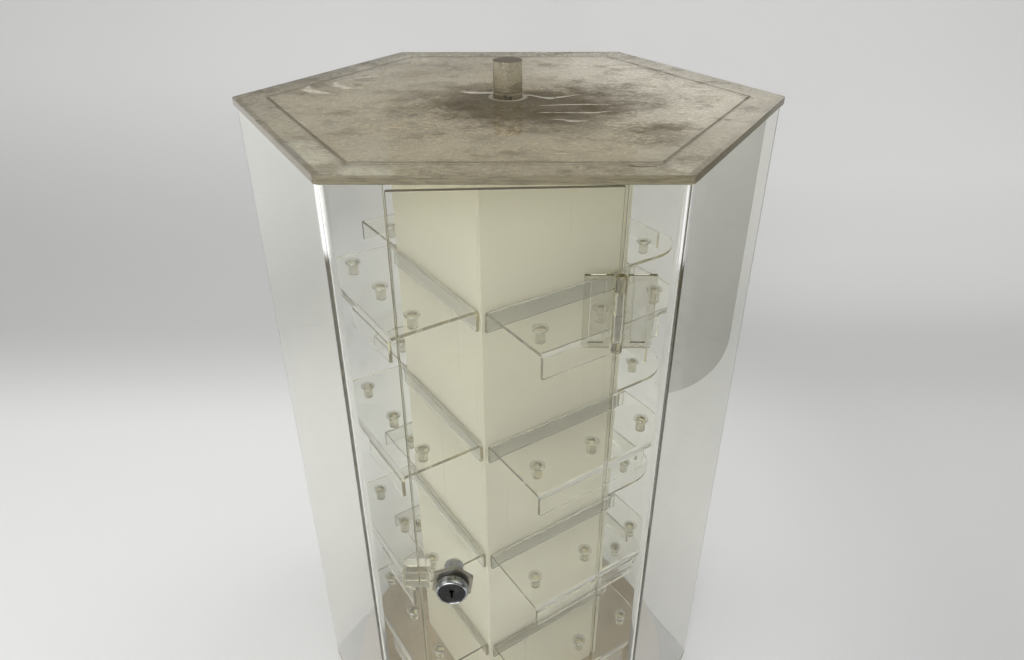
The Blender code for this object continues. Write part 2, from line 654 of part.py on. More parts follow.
def shelf_trim(side, shape, end):
    """Plan of what is cut away outside a shelf's rounded side, and where its lip ends."""
    far = 0.02
    beyond = end + side * far
    if shape == "corner":
        start = end - side * ROUND_CORNER
        centre = (SHELF_OUTER - ROUND_CORNER, start)
        curve = arc(centre, ROUND_CORNER, 0, side * 90, 8)
        plan = curve + [(centre[0], beyond), (SHELF_OUTER + far, beyond)]
        return plan + [(SHELF_OUTER + far, start)], start
    centre = (SHELF_OUTER - LONG_ARC, LONG_ARC_START)
    sweep = side * 29
    curve = arc(centre, LONG_ARC, 0, sweep, 8)
    return curve + [(SHELF_OUTER + far, curve[-1][1]), (SHELF_OUTER + far, centre[1])], centre[1]


def stud():
    """A clear stud: flanged head with a dish in it above, stem below the shelf's surface."""
    dish = STUD_DISH_DEPTH
    return turned([(0, -dish), (STUD_DISH_RADIUS, -dish),
                   (STUD_DISH_RADIUS + 0.0006, STUD_HEAD_HEIGHT),
                   (STUD_HEAD_RADIUS - 0.0005, STUD_HEAD_HEIGHT), (STUD_HEAD_RADIUS, 0.0006),
                   (STUD_HEAD_RADIUS, -0.0008), (STUD_STEM_RADIUS, -0.0008),
                   (STUD_STEM_RADIUS, 0.0012 - STUD_LENGTH),
                   (STUD_STEM_RADIUS - 0.0012, -STUD_LENGTH), (0, -STUD_LENGTH)], STUD_SEGMENTS)


def shelf(ends, side, shape, stud_places):
    """A bent shelf facing +X from the axis: trimmed in plan, drilled, and its studs set in."""
    low, high = ends
    channel = prism([shelf_profile()], low, high, True)
    plan, lip_end = shelf_trim(side, shape, high if side > 0 else low)
    deep = SHELF_LIP + 0.004
    lip_run = sorted((lip_end, (high if side > 0 else low) + side * 0.01))
    lip_plan = rectangle((SHELF_OUTER - SHELF_BEND - 0.0012, SHELF_OUTER + 0.004), lip_run)
    hole = cylinder(STUD_HOLE_RADIUS, -0.006, 0.003, STUD_SEGMENTS)
    one_stud = stud()
    places = [(STUD_LINE, along, 0) for along in stud_places]
    return combined(channel, ("DIFFERENCE", prism([plan], -deep, 0.004)),
                    ("DIFFERENCE", prism([lip_plan], -deep, -SHELF_SHEET)),
                    ("DIFFERENCE", joined([moved(hole, place) for place in places])),
                    ("UNION", joined([moved(one_stud, place) for place in places])))


def make_shelves(carousel):
    """One shelf to each face of the column at each level."""
    for turn, (face, ends, side, shape, stud_places) in enumerate(SHELF_FACES):
        mesh = shelf(ends, side, shape, stud_places)
        for tier in range(TIER_COUNT):
            height = TIER_TOP - tier * TIER_PITCH
            part(f"shelf_{face}_{tier + 1}", mesh, "clear_acrylic", carousel, (0, 0, height),
                 turn * pi / 2)


clear_scene()
PARTS = new_collection("rotating_display_case")
CUTTERS = new_collection("cutters")
make_case()
DOOR_AXIS = make_door()
make_hinges(DOOR_AXIS)
make_lock(DOOR_AXIS)
CAROUSEL_AXIS = pivot("carousel_axis", (0, 0, 0), COLUMN_TURN)
make_turntable(CAROUSEL_AXIS)
make_column(CAROUSEL_AXIS)
make_shelves(CAROUSEL_AXIS)
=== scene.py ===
"""Dresses the rotating display case: modelled acrylic, dust, metal, floor, light and camera.

The script is laid out as an add-on. Each operator makes one piece or a group of like pieces in the
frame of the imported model: metres, +Z up, the door facing -Y, the carousel turning about X = Y = 0.
"""
from contextlib import contextmanager
from math import cos, pi, radians, sin, sqrt, tan

import bmesh
import bpy
from bpy.props import FloatProperty, FloatVectorProperty, PointerProperty
from mathutils import Matrix, Vector


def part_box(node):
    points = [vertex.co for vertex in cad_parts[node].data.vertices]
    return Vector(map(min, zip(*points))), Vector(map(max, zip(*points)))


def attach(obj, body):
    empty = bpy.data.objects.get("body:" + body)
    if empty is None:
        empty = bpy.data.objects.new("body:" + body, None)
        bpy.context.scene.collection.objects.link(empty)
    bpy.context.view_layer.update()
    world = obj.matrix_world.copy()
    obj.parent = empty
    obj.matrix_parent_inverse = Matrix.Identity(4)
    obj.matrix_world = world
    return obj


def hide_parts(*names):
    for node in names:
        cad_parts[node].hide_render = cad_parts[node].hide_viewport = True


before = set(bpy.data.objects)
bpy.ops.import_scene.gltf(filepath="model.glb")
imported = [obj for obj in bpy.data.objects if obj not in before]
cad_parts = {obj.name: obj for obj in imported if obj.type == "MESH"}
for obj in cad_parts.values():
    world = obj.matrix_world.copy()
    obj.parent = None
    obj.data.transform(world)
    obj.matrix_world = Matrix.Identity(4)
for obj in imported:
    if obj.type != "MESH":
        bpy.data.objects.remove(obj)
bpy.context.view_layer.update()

bl_info = {
    "name": "Rotating display case",
    "version": (1, 0, 0),
    "blender": (4, 5, 0),
    "location": "3D View > Sidebar > Display case",
    "description": "Models and dresses a clear hexagonal display case and its turning column",
    "category": "Object",
}

SIDES = {"left": -1, "right": 1}
HINGE_LEVELS = ("upper", "lower")
SMOOTH_ANGLE = 35.0

# Gap between pieces that touch, and how far a cutting tool reaches past what it cuts
CLEARANCE = 0.0003
PAST = 0.001

# Widths of eased edges: cam and shelves, hinge leaves, nut and panels, keeper, and disc
FINE_EDGE = 0.0003
LEAF_EDGE = 0.00035
SOFT_EDGE = 0.0005
KEEPER_EDGE = 0.0010
DISC_EDGE = 0.0012

# Optics of acrylic: its refractive index, and how strongly it yellows light in its depth
ACRYLIC_IOR = 1.49
SHEET_DENSITY = 20
MOULDED_DENSITY = 110
KEEPER_DENSITY = 25

# Holes: depth and radius in the base, radius in the door for the lock, and for the knob's screw
BASE_HOLE_DEPTH = 0.0042
BASE_HOLE = 0.0018
LOCK_HOLE = 0.0096
KNOB_SCREW_HOLE = 0.0027
KNOB_SCREW_DEPTH = 0.013

# Hinges: thickness of a leaf, width of its recess's slope, how far its knuckle reaches above and
# below the middle, and where the tab to the knuckle ends, measured from the pin's axis
LEAF_SHEET = 0.003
RECESS_SLOPE = 0.0006
KNUCKLE_UP = 0.0173
KNUCKLE_DOWN = 0.0213
TAB_END = 0.0008

# Lock: where its body ends, behind the door's front face, and the thickness of its cam
LOCK_TAIL = -0.024
CAM_SHEET = 0.002

# Column: half its width and its turn about the axis, then each face's quarter turns from there
COLUMN_HALF = 0.0785
COLUMN_TURN = radians(-56)
SHELF_TURNS = {"front_right": 0, "back_right": 1, "back_left": 2, "front_left": 3}

# Shelves: reach from the axis, depths of the flange and the lip, how thick the lip is with its
# bend, and where the front left shelves' long arc starts and how near the axis it comes
TIERS = (1, 2, 3, 4)
SHELF_OUTER = 0.1613
SHELF_FLANGE = 0.020
SHELF_LIP = 0.022
LIP_REACH = 0.0062
LONG_ARC_START = 0.007
LONG_ARC_INSIDE = 0.110

# Studs: distance from the axis, radius of their holes, and how far their heads stand up
STUD_LINE = 0.128
STUD_HOLE = 0.0047
STUD_RISE = 0.0012

# Ends of each face's shelf along its panel, and the places of its studs
SHELF_ENDS = {
    "front_right": (-0.0755, 0.0855),
    "back_right": (-0.0785, 0.0755),
    "back_left": (-0.0755, 0.0785),
    "front_left": (-0.0865, 0.0752),
}
STUD_PLACES = {
    "front_right": (-0.0545, 0.0065, 0.0665),
    "back_right": (-0.0465, 0.0075, 0.0615),
    "back_left": (-0.0540, 0.0040, 0.0600),
    "front_left": (-0.0685, -0.0090, 0.0515),
}


def size(label, text, default):
    """A length that a user may change, in metres."""
    return FloatProperty(name=label, description=text, default=default, unit="LENGTH", precision=5)


def colour(label, text, default):
    """A linear colour that a user may change."""
    return FloatVectorProperty(name=label, description=text, default=default, size=3,
                               subtype="COLOR", min=0, max=1)


class CaseSizes(bpy.types.PropertyGroup):
    """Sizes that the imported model's boxes don't give."""

    wall_sheet: size("Wall sheet", "Thickness of the walls and the door", 0.0045)
    wall_bend: size("Wall bend", "Outer radius of the walls' bends", 0.010)
    plate_corner: size("Plate corner", "Radius of the top and base plates' corners", 0.006)
    left_strip: size("Left strip", "Where the wall's strip left of the door ends", -0.0758)
    right_strip: size("Right strip", "Where the wall's strip right of the door ends", 0.0777)
    seam: size("Seam", "Half of the gap between the wall shells at the back", 0.0003)
    door_sag: size("Door sag", "How much lower the door's free top corner is", 0.0032)
    polished_edge: size("Polished edge", "Width of the eased edge of cut sheet", 0.0004)
    knob_hole: size("Knob hole", "Radius of the top plate's hole", 0.013)
    screw_hole: size("Screw hole", "Radius of the holes for the bearing's screws", 0.0022)
    screw_offset: size("Screw offset", "Distance of the bearing's screws from both axes", 0.044)
    hinge_setback: size("Hinge setback", "Distance of a leaf from the pin's axis", 0.0048)
    hinge_rim: size("Hinge rim", "Width of the raised rim round a leaf", 0.0042)
    hinge_recess: size("Hinge recess", "Depth of a leaf's recess", 0.0012)
    knuckle: size("Knuckle", "Radius of a hinge's knuckle", 0.004)
    knuckle_bore: size("Knuckle bore", "Radius of the hole for the hinge pin", 0.0023)
    shelf_sheet: size("Shelf sheet", "Thickness of the shelves", 0.003)
    shelf_bend: size("Shelf bend", "Outer radius of the shelves' bends", 0.005)
    shelf_corner: size("Shelf corner", "Radius of a shelf's rounded corner", 0.0447)
    shelf_arc: size("Shelf arc", "Radius of the long arc of the front left shelves", 0.205)
    column_sheet: size("Column sheet", "Thickness of the column's panels", 0.003)


class CaseColours(bpy.types.PropertyGroup):
    """Colours of the finishes and the stage."""

    clear: colour("Clear", "Tint of the clear acrylic", (0.972, 0.978, 0.962))
    yellowed: colour("Yellowed", "Colour that light takes in deep acrylic", (0.74, 0.69, 0.42))
    edge: colour("Edge", "Cut edges of the clear acrylic", (0.165, 0.145, 0.092))
    haze: colour("Haze", "Film of dust on the clear acrylic", (0.62, 0.62, 0.58))
    aged: colour("Aged", "Tint of the top plate's sheet", (0.82, 0.77, 0.60))
    dust: colour("Dust", "Dust on the top plate", (0.365, 0.308, 0.205))
    brown_dust: colour("Brown dust", "Thick dust and its blotches", (0.070, 0.053, 0.025))
    # Pale dust also paints the sheen on the top plate's right and the smears' reflection
    pale_dust_and_sheen: colour("Pale dust", "Wiped smears in the dust", (0.80, 0.76, 0.66))
    grime: colour("Grime", "Dark dirt round the knob and in scratches", (0.10, 0.085, 0.055))
    cream: colour("Cream", "Acrylic of the column", (0.93, 0.912, 0.77))
    # Board also stands as painted shade on the column's cap
    board: colour("Board", "Brown turntable disc and the column's cap", (0.37, 0.28, 0.15))
    chrome: colour("Chrome", "Plated lock body", (0.30, 0.31, 0.31))
    nut: colour("Nut", "Tarnished nut of the lock", (0.24, 0.21, 0.14))
    black: colour("Black", "Dark face of the lock's plug", (0.03, 0.03, 0.03))
    zinc: colour("Zinc", "Plated steel of the bearing, screws and cam", (0.50, 0.49, 0.45))
    floor: colour("Floor", "Studio floor", (0.78, 0.78, 0.77))
    paper: colour("Paper", "Paper sweep that the case stands on", (0.80, 0.80, 0.79))


# Marks on the top plate, then on the walls: the points each runs through, with its width there
SMEARS = (
    ((-0.1792, 0.0408, 0.0030), (-0.1760, 0.0270, 0.0058), (-0.1672, 0.0177, 0.0066),
     (-0.1494, 0.0102, 0.0030)),
    ((-0.1575, 0.0569, 0.0028), (-0.1530, 0.0430, 0.0052), (-0.1444, 0.0338, 0.0060),
     (-0.1285, 0.0327, 0.0025)),
    ((-0.1490, 0.0694, 0.0022), (-0.1347, 0.0779, 0.0040), (-0.1232, 0.0822, 0.0022)),
    ((-0.0424, 0.0174, 0.0020), (-0.0300, 0.0150, 0.0050), (-0.0120, 0.0143, 0.0045)),
    ((0.0273, -0.0303, 0.0012), (0.0592, -0.0265, 0.0020), (0.0844, -0.0270, 0.0010)),
    ((0.0252, -0.0519, 0.0012), (0.0698, -0.0533, 0.0020), (0.0821, -0.0478, 0.0012)),
    ((0.0354, -0.0713, 0.0012), (0.0480, -0.0776, 0.0020), (0.0623, -0.0777, 0.0010)),
    ((0.0169, 0.0058, 0.0022), (0.0355, -0.0067, 0.0034), (0.0625, 0.0084, 0.0014)),
)
CLEANED = (
    ((-0.1420, -0.1400, 0.0170), (-0.1270, -0.1680, 0.0200)),
    ((-0.0920, -0.1920, 0.0160), (-0.0740, -0.1980, 0.0120)),
    ((0.1095, -0.1827, 0.0110), (0.1158, -0.1925, 0.0080)),
)
SCORED = (
    ((0.0696, -0.0560, 0.0010), (0.0859, -0.0561, 0.0018)),
    ((0.0790, -0.1850, 0.0018), (0.0950, -0.1862, 0.0012)),
    ((0.0185, 0.1150, 0.0014), (0.0230, 0.1140, 0.0014)),
)
WALL_MARKS = (
    ((0.1845, -0.0868, 0.2840, 0.0010), (0.1933, -0.0716, 0.2714, 0.0016),
     (0.2129, -0.0376, 0.2291, 0.0010)),
    ((0.1960, -0.0669, 0.2750, 0.0014), (0.2010, -0.0582, 0.2560, 0.0008)),
    ((0.2050, -0.0512, 0.2480, 0.0013), (0.2030, -0.0547, 0.2370, 0.0008)),
    ((-0.1159, -0.2032, 0.3482, 0.0022), (-0.1145, -0.2032, 0.3353, 0.0012)),
    ((-0.1120, -0.2032, 0.3440, 0.0014), (-0.1085, -0.2032, 0.3300, 0.0008)),
)


# Shader nodes

class Wire:
    """A shader socket that formulas can be written with."""

    def __init__(self, tree, socket=None):
        self.tree, self.socket = tree, socket

    def node(self, kind, settings=(), inputs=(), output=0):
        """Add a node: its settings first, then the values or links of its sockets."""
        node = self.tree.nodes.new(kind)
        for name, value in dict(settings).items():
            if name == "stops":
                ramp = node.color_ramp
                for place, shade in value[len(ramp.elements):]:
                    ramp.elements.new(place)
                for element, (place, shade) in zip(ramp.elements, value):
                    element.position, element.color = place, shade
            else:
                setattr(node, name, value)
        for key, value in dict(inputs).items():
            if isinstance(value, Wire):
                self.tree.links.new(value.socket, node.inputs[key])
            else:
                node.inputs[key].default_value = value
        return Wire(self.tree, node.outputs[output] if node.outputs else None)

    def maths(self, operation, *others, clamp=False):
        """Add a Math node that starts from this value."""
        return self.node("ShaderNodeMath", {"operation": operation, "use_clamp": clamp},
                         dict(enumerate((self, *others))))

    def __add__(self, other):
        return self.maths("ADD", other)

    def __sub__(self, other):
        return self.maths("SUBTRACT", other)

    def __rsub__(self, other):
        return self.maths("MULTIPLY_ADD", -1.0, other)

    def __mul__(self, other):
        return self.maths("MULTIPLY", other)

    def __abs__(self):
        return self.maths("ABSOLUTE")

    __radd__, __rmul__ = __add__, __mul__

    def ramp(self, low, high, to_low=0.0, to_high=1.0):
        """Ease smoothly from one value to another between two levels."""
        return self.node("ShaderNodeMapRange", {"interpolation_type": "SMOOTHSTEP"},
                         {0: self, 1: low, 2: high, 3: to_low, 4: to_high})

    def part(self, axis):
        """One coordinate of a vector."""
        return self.node("ShaderNodeSeparateXYZ", (), {0: self}, axis)

    def blend(self, first, second):
        """Mix two colours by this value."""
        return self.node("ShaderNodeMix", {"data_type": "RGBA", "clamp_factor": True},
                         {0: self, 6: opaque(first), 7: opaque(second)}, 2)

    def noise(self, scale, detail=3.0, roughness=0.55):
        """Cloudy noise read at this place."""
        return self.node("ShaderNodeTexNoise", (), {"Vector": self, "Scale": scale,
                                                    "Detail": detail, "Roughness": roughness})

    def specks(self, scale, radius):
        """Scattered dots: 1 inside each, 0 outside."""
        distance = self.node("ShaderNodeTexVoronoi", {"feature": "F1"},
                             {"Vector": self, "Scale": scale, "Randomness": 1.0})
        return distance.ramp(radius, radius * 0.6)

    def stretched(self, scale, turn=0.0):
        """Scale this place along each axis, and turn it about Z."""
        return self.node("ShaderNodeMapping", {"vector_type": "POINT"},
                         {"Vector": self, "Rotation": (0, 0, turn), "Scale": scale})

    def dot(self, direction):
        """Distance of this place along a direction."""
        return self.node("ShaderNodeVectorMath", {"operation": "DOT_PRODUCT"},
                         {0: self, 1: direction}, 1)

    def distance(self, point):
        """Distance of this place from a point."""
        return self.node("ShaderNodeVectorMath", {"operation": "DISTANCE"}, {0: self, 1: point}, 1)

    def stroke(self, start, end, first, last):
        """A soft mark from one point to another: 1 along it, 0 outside its width there."""
        start, way = Vector(start), Vector(end) - Vector(start)
        unit = way / way.length_squared
        along = self.dot(unit).maths("SUBTRACT", start.dot(unit), clamp=True)
        nearest = along.node("ShaderNodeVectorMath", {"operation": "MULTIPLY_ADD"},
                             {0: along, 1: way, 2: start})
        outside = self.distance(nearest) - along * (last - first)
        return outside.ramp(first, first - max(first, last) * 0.55)


def opaque(shade):
    """A colour with its alpha, or the wire that brings one."""
    return shade if isinstance(shade, Wire) else (*shade, 1.0)


def scaled(shade, factor):
    """A colour made darker or lighter."""
    return [part * factor for part in shade]


def new_material(name):
    """Start a material. Returns it with a wire to write on and the place in the object."""
    material = bpy.data.materials.new(name)
    material.use_nodes = True
    material.node_tree.nodes.clear()
    wire = Wire(material.node_tree)
    return material, wire, wire.node("ShaderNodeTexCoord", output=3)


def surface(wire, base, roughness, normal=None, **constants):
    """A Principled shader; keywords name the sockets that stay constant."""
    inputs = {"Base Color": opaque(base), "Roughness": roughness}
    if normal is not None:
        inputs["Normal"] = normal
    inputs.update({key.replace("_", " "): value for key, value in constants.items()})
    return wire.node("ShaderNodeBsdfPrincipled", (), inputs)


def acrylic(wire, tint, roughness):
    """The clear surface of acrylic, which refracts light."""
    return surface(wire, tint, roughness, IOR=ACRYLIC_IOR, Transmission_Weight=1.0)


def layered(factor, below, above):
    """Lay one shader over another by a mask."""
    return factor.node("ShaderNodeMixShader", (), {0: factor, 1: below, 2: above})


def bump(height, strength, distance):
    """Turn a height into a normal."""
    return height.node("ShaderNodeBump", (),
                       {"Strength": strength, "Distance": distance, "Height": height})


def finish_material(material, shader, density=0):
    """Join the last shader to the output; acrylic also absorbs light in its depth."""
    outputs = {"Surface": shader}
    if density:
        yellowed = opaque(bpy.context.scene.case_colours.yellowed)
        outputs["Volume"] = shader.node("ShaderNodeVolumeAbsorption", (),
                                        {"Color": yellowed, "Density": density})
    shader.node("ShaderNodeOutputMaterial", (), outputs)
    return material


def facing(wire):
    """The surface's own direction."""
    return wire.node("ShaderNodeNewGeometry", output=1)


def hexagon_reach(place):
    """How far a place lies from the axis, measured square to the nearest side of the hexagon."""
    first, second, third = (abs(place.dot((sin(turn), cos(turn), 0)))
                            for turn in (0, pi / 3, 2 * pi / 3))
    return first.maths("MAXIMUM", second).maths("MAXIMUM", third)


def scratches(place, marks):
    """Marks drawn on a surface, from their points and widths."""
    mask = None
    for points in marks:
        for (*start, first), (*end, last) in zip(points, points[1:]):
            stroke = place.stroke(start, end, first, last)
            mask = stroke if mask is None else mask.maths("MAXIMUM", stroke)
    return mask


def strokes(place, marks, height):
    """Marks drawn in plan on a level face."""
    return scratches(place, [[(x, y, height, width) for x, y, width in points]
                             for points in marks])


def clear_acrylic(name, rim=None):
    """Clear sheet with a film of dust, fine scratches and specks; its edges can be dirty.

    Without dirty edges it is bent sheet, and its bends carry a painted white highlight.
    """
    shades = bpy.context.scene.case_colours
    material, wire, place = new_material(name)
    cloud = place.noise(9.0, 4.0)
    scratch = place.stretched((700, 700, 5), 0.4).noise(1.0, 1.0).ramp(0.72, 0.76)
    specks = place.specks(95.0, 0.035)
    cover = cloud.ramp(0.35, 0.75, 0.008, 0.032) + specks * 0.30 + scratch * 0.06
    sheet = layered(cover, acrylic(wire, shades.clear, 0.0), surface(wire, shades.haze, 0.7))
    if rim:
        dirt = surface(wire, cloud.blend(shades.edge, scaled(shades.edge, 0.5)), 0.35)
        sheet = layered(rim(wire, place) * cloud.ramp(0.3, 0.7, 0.65, 0.9), sheet, dirt)
    else:
        level = facing(wire).part(2)
        # Painted highlight: a pale layer on the bends, between the level and the upright faces
        bend = level.ramp(0.20, 0.45) * level.ramp(0.98, 0.85)
        sheet = layered(bend * cloud.ramp(0.3, 0.7, 0.25, 0.55), sheet,
                        surface(wire, (0.92, 0.92, 0.90), 0.3))
    return finish_material(material, sheet, SHEET_DENSITY)


def wall_acrylic():
    """Wall sheet: clear, painted shade left of the door, painted highlights on its front bends."""
    shades = bpy.context.scene.case_colours
    material, wire, place = new_material("Wall sheet")
    cloud = place.noise(7.0, 4.0)
    specks = place.specks(70.0, 0.030)
    cover = cloud.ramp(0.35, 0.75, 0.008, 0.034) + specks * 0.30
    side, front, height = (place.part(axis) for axis in range(3))
    ahead = front.ramp(-0.192, -0.197)
    bend = abs(abs(side) - 0.1165).ramp(0.0052, 0.0024) * ahead
    # Painted shade: the sheet is tinted grey on the strip left of the door
    tint = (side.ramp(-0.070, -0.100) * ahead).blend(shades.clear, (0.86, 0.87, 0.875))
    streak = place.stretched((700, 700, 2)).noise(1.0, 2.0).ramp(0.42, 0.56, 0.08, 0.85)
    # Painted highlight: white streaks on the front bends, near their top
    painted_bend_highlight = surface(wire, (0.90, 0.90, 0.88), 0.35)
    mask = bend * streak * (height + side * 0.03).ramp(0.661, 0.673)
    sheet = layered(cover, acrylic(wire, tint, 0.0), surface(wire, shades.haze, 0.7))
    sheet = layered(mask, sheet, painted_bend_highlight)
    marks = scratches(place, WALL_MARKS) * place.noise(900.0, 2.0).ramp(0.40, 0.50)
    sheet = layered(marks * 0.8, sheet, surface(wire, shades.grime, 0.5))
    return finish_material(material, sheet, SHEET_DENSITY)


def door_rim(wire, place):
    """The door's cut edges: every face that looks neither forwards nor backwards."""
    return abs(facing(wire).part(1)).ramp(0.7, 0.3)


def dusty_acrylic():
    """Top plate: brown dust on a darkened clear sheet, with wiped smears and a dark inner line, and
    painted sheen and reflection.
    """
    shades = bpy.context.scene.case_colours
    material, wire, place = new_material("Dusty top")
    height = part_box("top_plate")[1].z
    level = facing(wire).part(2)
    on_top = level.ramp(0.5, 0.9)
    cloud = place.noise(13.0, 6.0, 0.65)
    mottle = place.stretched((0.7, 1.0, 1.0)).noise(300.0, 4.0, 0.85)
    grain = place.noise(1100.0, 2.0, 0.6)
    smudge = place.stretched((0.6, 1.0, 1.0)).noise(48.0, 5.0, 0.7)
    reach = hexagon_reach(place)

    # Marks on it, drawn on a place that wanders a little
    drift = (place.noise(90.0, 3.0) - 0.5) * 0.006
    smeared = place.node("ShaderNodeVectorMath", {"operation": "ADD"}, {0: place, 1: drift})
    smears = strokes(smeared, SMEARS, height) * mottle.ramp(0.32, 0.50, 0.35, 1.0)
    cleaned = strokes(smeared, CLEANED, height) * cloud.ramp(0.28, 0.45)
    scored = strokes(smeared, SCORED, height)

    # Thick dust round the knob and in the front right corner, and the plate's inner line
    from_knob = place.stretched((1.0, 1.20, 1.0)).distance((0.014, -0.034, height))
    patch = (from_knob + (cloud - 0.5) * 0.26 + (smudge - 0.5) * 0.10
             + (mottle - 0.5) * 0.07).ramp(0.128, 0.040)
    corner = (place.distance((0.108, -0.105, height)) + (mottle - 0.5) * 0.07
              + (cloud - 0.5) * 0.05).ramp(0.042, 0.010) * 0.6
    patch = patch.maths("MAXIMUM", corner)
    # Paler towards the right: partly paler dust, partly a painted sheen
    sheen_and_paler_dust = place.dot((0.92, 0.39, 0.0)).ramp(0.00, 0.15)
    flecks = place.specks(330.0, 0.30) * smudge.ramp(0.42, 0.56)
    line = abs(reach - 0.1768) + (mottle - 0.5) * 0.0016
    line = line.ramp(0.0019, 0.0005) * mottle.ramp(0.30, 0.45, 0.35, 1.0)
    collar = place.stretched((1, 1, 0)).distance((0, 0, 0)).ramp(0.0180, 0.0150)

    # The dust's colour with its painted sheen and reflection, then how much of the sheet it covers
    blotch = place.stretched((1.0, 1.3, 1.0), 0.5).noise(30.0, 7.0, 0.75).ramp(0.50, 0.64)
    tone = (smudge * 0.30 + mottle * 0.70).ramp(0.40, 0.60)
    tone = tone.blend(scaled(shades.dust, 0.45), scaled(shades.dust, 1.28))
    tone = (sheen_and_paler_dust * 0.70).blend(tone, shades.pale_dust_and_sheen)
    tone = (blotch * 0.60).blend(tone, shades.brown_dust)
    tone = (patch * 0.90).blend(tone, shades.brown_dust)
    # Darker brown towards the rim and towards the back left
    rim_and_back_left = (reach.ramp(0.160, 0.186) + place.dot((-0.5, 0.85, 0.0)).ramp(0.03, 0.16)) * 0.5
    tone = (rim_and_back_left * mottle.ramp(0.42, 0.60)).blend(tone, shades.brown_dust)
    tone = (smudge.ramp(0.55, 0.66) * 0.35 + flecks * 0.50 + line * 0.80
            + scored).blend(tone, shades.grime)
    # Painted reflection: the wiped smears are painted pale; the ring round the hole is paler too
    tone = (smears * 0.50 + collar * 0.3).blend(tone, shades.pale_dust_and_sheen)
    cover = (0.38 + blotch * 0.18 + (cloud - 0.5) * 0.8 + (mottle - 0.5) * 1.2
             + (grain - 0.5) * 0.6 + patch * 0.45 + line * 0.4 + scored + smears * 0.2
             + collar * 0.4 - cleaned * 0.35 + sheen_and_paler_dust * 0.15)
    dust = surface(wire, tone, 0.9, bump(grain, 0.15, 0.0002), Specular_IOR_Level=0.15)
    topped = layered(cover.maths("MULTIPLY", on_top, clamp=True),
                     acrylic(wire, shades.aged, 0.07), dust)

    # Cut edges, stained along their length
    stain = place.stretched((60, 60, 900)).noise(1.0, 3.0).ramp(0.35, 0.65)
    stain = stain.blend(scaled(shades.edge, 0.85), scaled(shades.edge, 1.35))
    edge = surface(wire, (collar * 0.8).blend(stain, shades.pale_dust_and_sheen), 0.25)
    rim = (1 - abs(level).ramp(0.2, 0.6)) * 0.72
    return finish_material(material, layered(rim, topped, edge), SHEET_DENSITY)


def base_acrylic():
    """Base plate: the same sheet seen against the brown disc, with dirt in its edges."""
    shades = bpy.context.scene.case_colours
    material, wire, place = new_material("Base sheet")
    cloud = place.noise(30.0, 5.0)
    dirt = surface(wire, cloud.blend(shades.dust, shades.edge), 0.4)
    rim = 1 - abs(facing(wire).part(2)).ramp(0.2, 0.6)
    cover = cloud.ramp(0.2, 0.8, 0.06, 0.22) + rim * cloud.ramp(0.2, 0.8, 0.45, 0.65)
    return finish_material(material, layered(cover, acrylic(wire, shades.clear, 0.05), dirt))


def moulded_acrylic(name, density=MOULDED_DENSITY):
    """Moulded clear acrylic of the hinges, keeper and studs, a little yellowed."""
    shades = bpy.context.scene.case_colours
    material, wire, place = new_material(name)
    cloud = place.noise(60.0, 3.0)
    tint = cloud.blend(scaled(shades.clear, 0.88), scaled(shades.clear, 0.78))
    filmed = layered(cloud.ramp(0.3, 0.7, 0.01, 0.05), acrylic(wire, tint, 0.02),
                     surface(wire, shades.haze, 0.5))
    return finish_material(material, filmed, density)


def knob_acrylic():
    """Clear rod with painted highlights on its sides, a dirty top face and dust in it."""
    shades = bpy.context.scene.case_colours
    material, wire, place = new_material("Knob rod")
    level = facing(wire).part(2)
    cloud = place.noise(110.0, 5.0, 0.65)
    # Painted highlight: a pale layer where the sides are seen edge-on
    edge = wire.node("ShaderNodeLayerWeight", (), {"Blend": 0.5}, 1)
    edge = edge.ramp(0.80, 0.95) * abs(level).ramp(0.5, 0.2)
    sides = layered(edge * 0.75, acrylic(wire, (0.71, 0.685, 0.59), 0.01),
                    surface(wire, (0.92, 0.91, 0.86), 0.3))
    dirt = surface(wire, cloud.blend(scaled(shades.dust, 0.38), scaled(shades.dust, 0.16)), 0.6,
                   Specular_IOR_Level=0.2)
    top = level.ramp(0.5, 0.9) * cloud.ramp(0.35, 0.6, 0.75, 0.95)
    return finish_material(material, layered(top + 0.06 * cloud.ramp(0.3, 0.7), sides, dirt))


def cream_acrylic():
    """Glossy cream sheet, darker and yellower towards its top as painted shade, with scuffs and
    specks of dirt.
    """
    shades = bpy.context.scene.case_colours
    material, wire, place = new_material("Cream sheet")
    cloud = place.noise(6.0, 3.0)
    scuff = place.stretched((60, 60, 9)).noise(1.0, 5.0, 0.7).ramp(0.68, 0.80)
    specks = place.specks(45.0, 0.030)
    aged = [shade * part for shade, part in zip(shades.cream, (0.96, 0.94, 0.84))]
    tone = cloud.blend(shades.cream, aged)
    # Painted shade: darker and yellower towards the top
    tone = place.part(2).ramp(0.24, 0.53).blend(tone, scaled(aged, 0.842))
    tone = (scuff * 0.25 + specks * 0.7).blend(tone, scaled(shades.cream, 0.35))
    grain = place.noise(300.0, 2.0)
    sheet = surface(wire, tone, cloud.ramp(0.2, 0.8, 0.015, 0.06), bump(grain, 0.004, 0.0002),
                    IOR=ACRYLIC_IOR)
    return finish_material(material, sheet)


def brown_board(name):
    """Brown board of the disc, and of the cap as painted shade of the column's hollow top; dusty and
    mottled.
    """
    shades = bpy.context.scene.case_colours
    material, wire, place = new_material(name)
    cloud = place.noise(18.0, 5.0, 0.6)
    grit = place.noise(260.0, 4.0, 0.7)
    tone = cloud.blend(shades.board, scaled(shades.board, 1.5))
    tone = grit.ramp(0.55, 0.7).blend(tone, shades.dust)
    return finish_material(material, surface(wire, tone, cloud.ramp(0.2, 0.8, 0.35, 0.6),
                                             bump(grit, 0.15, 0.0003)))


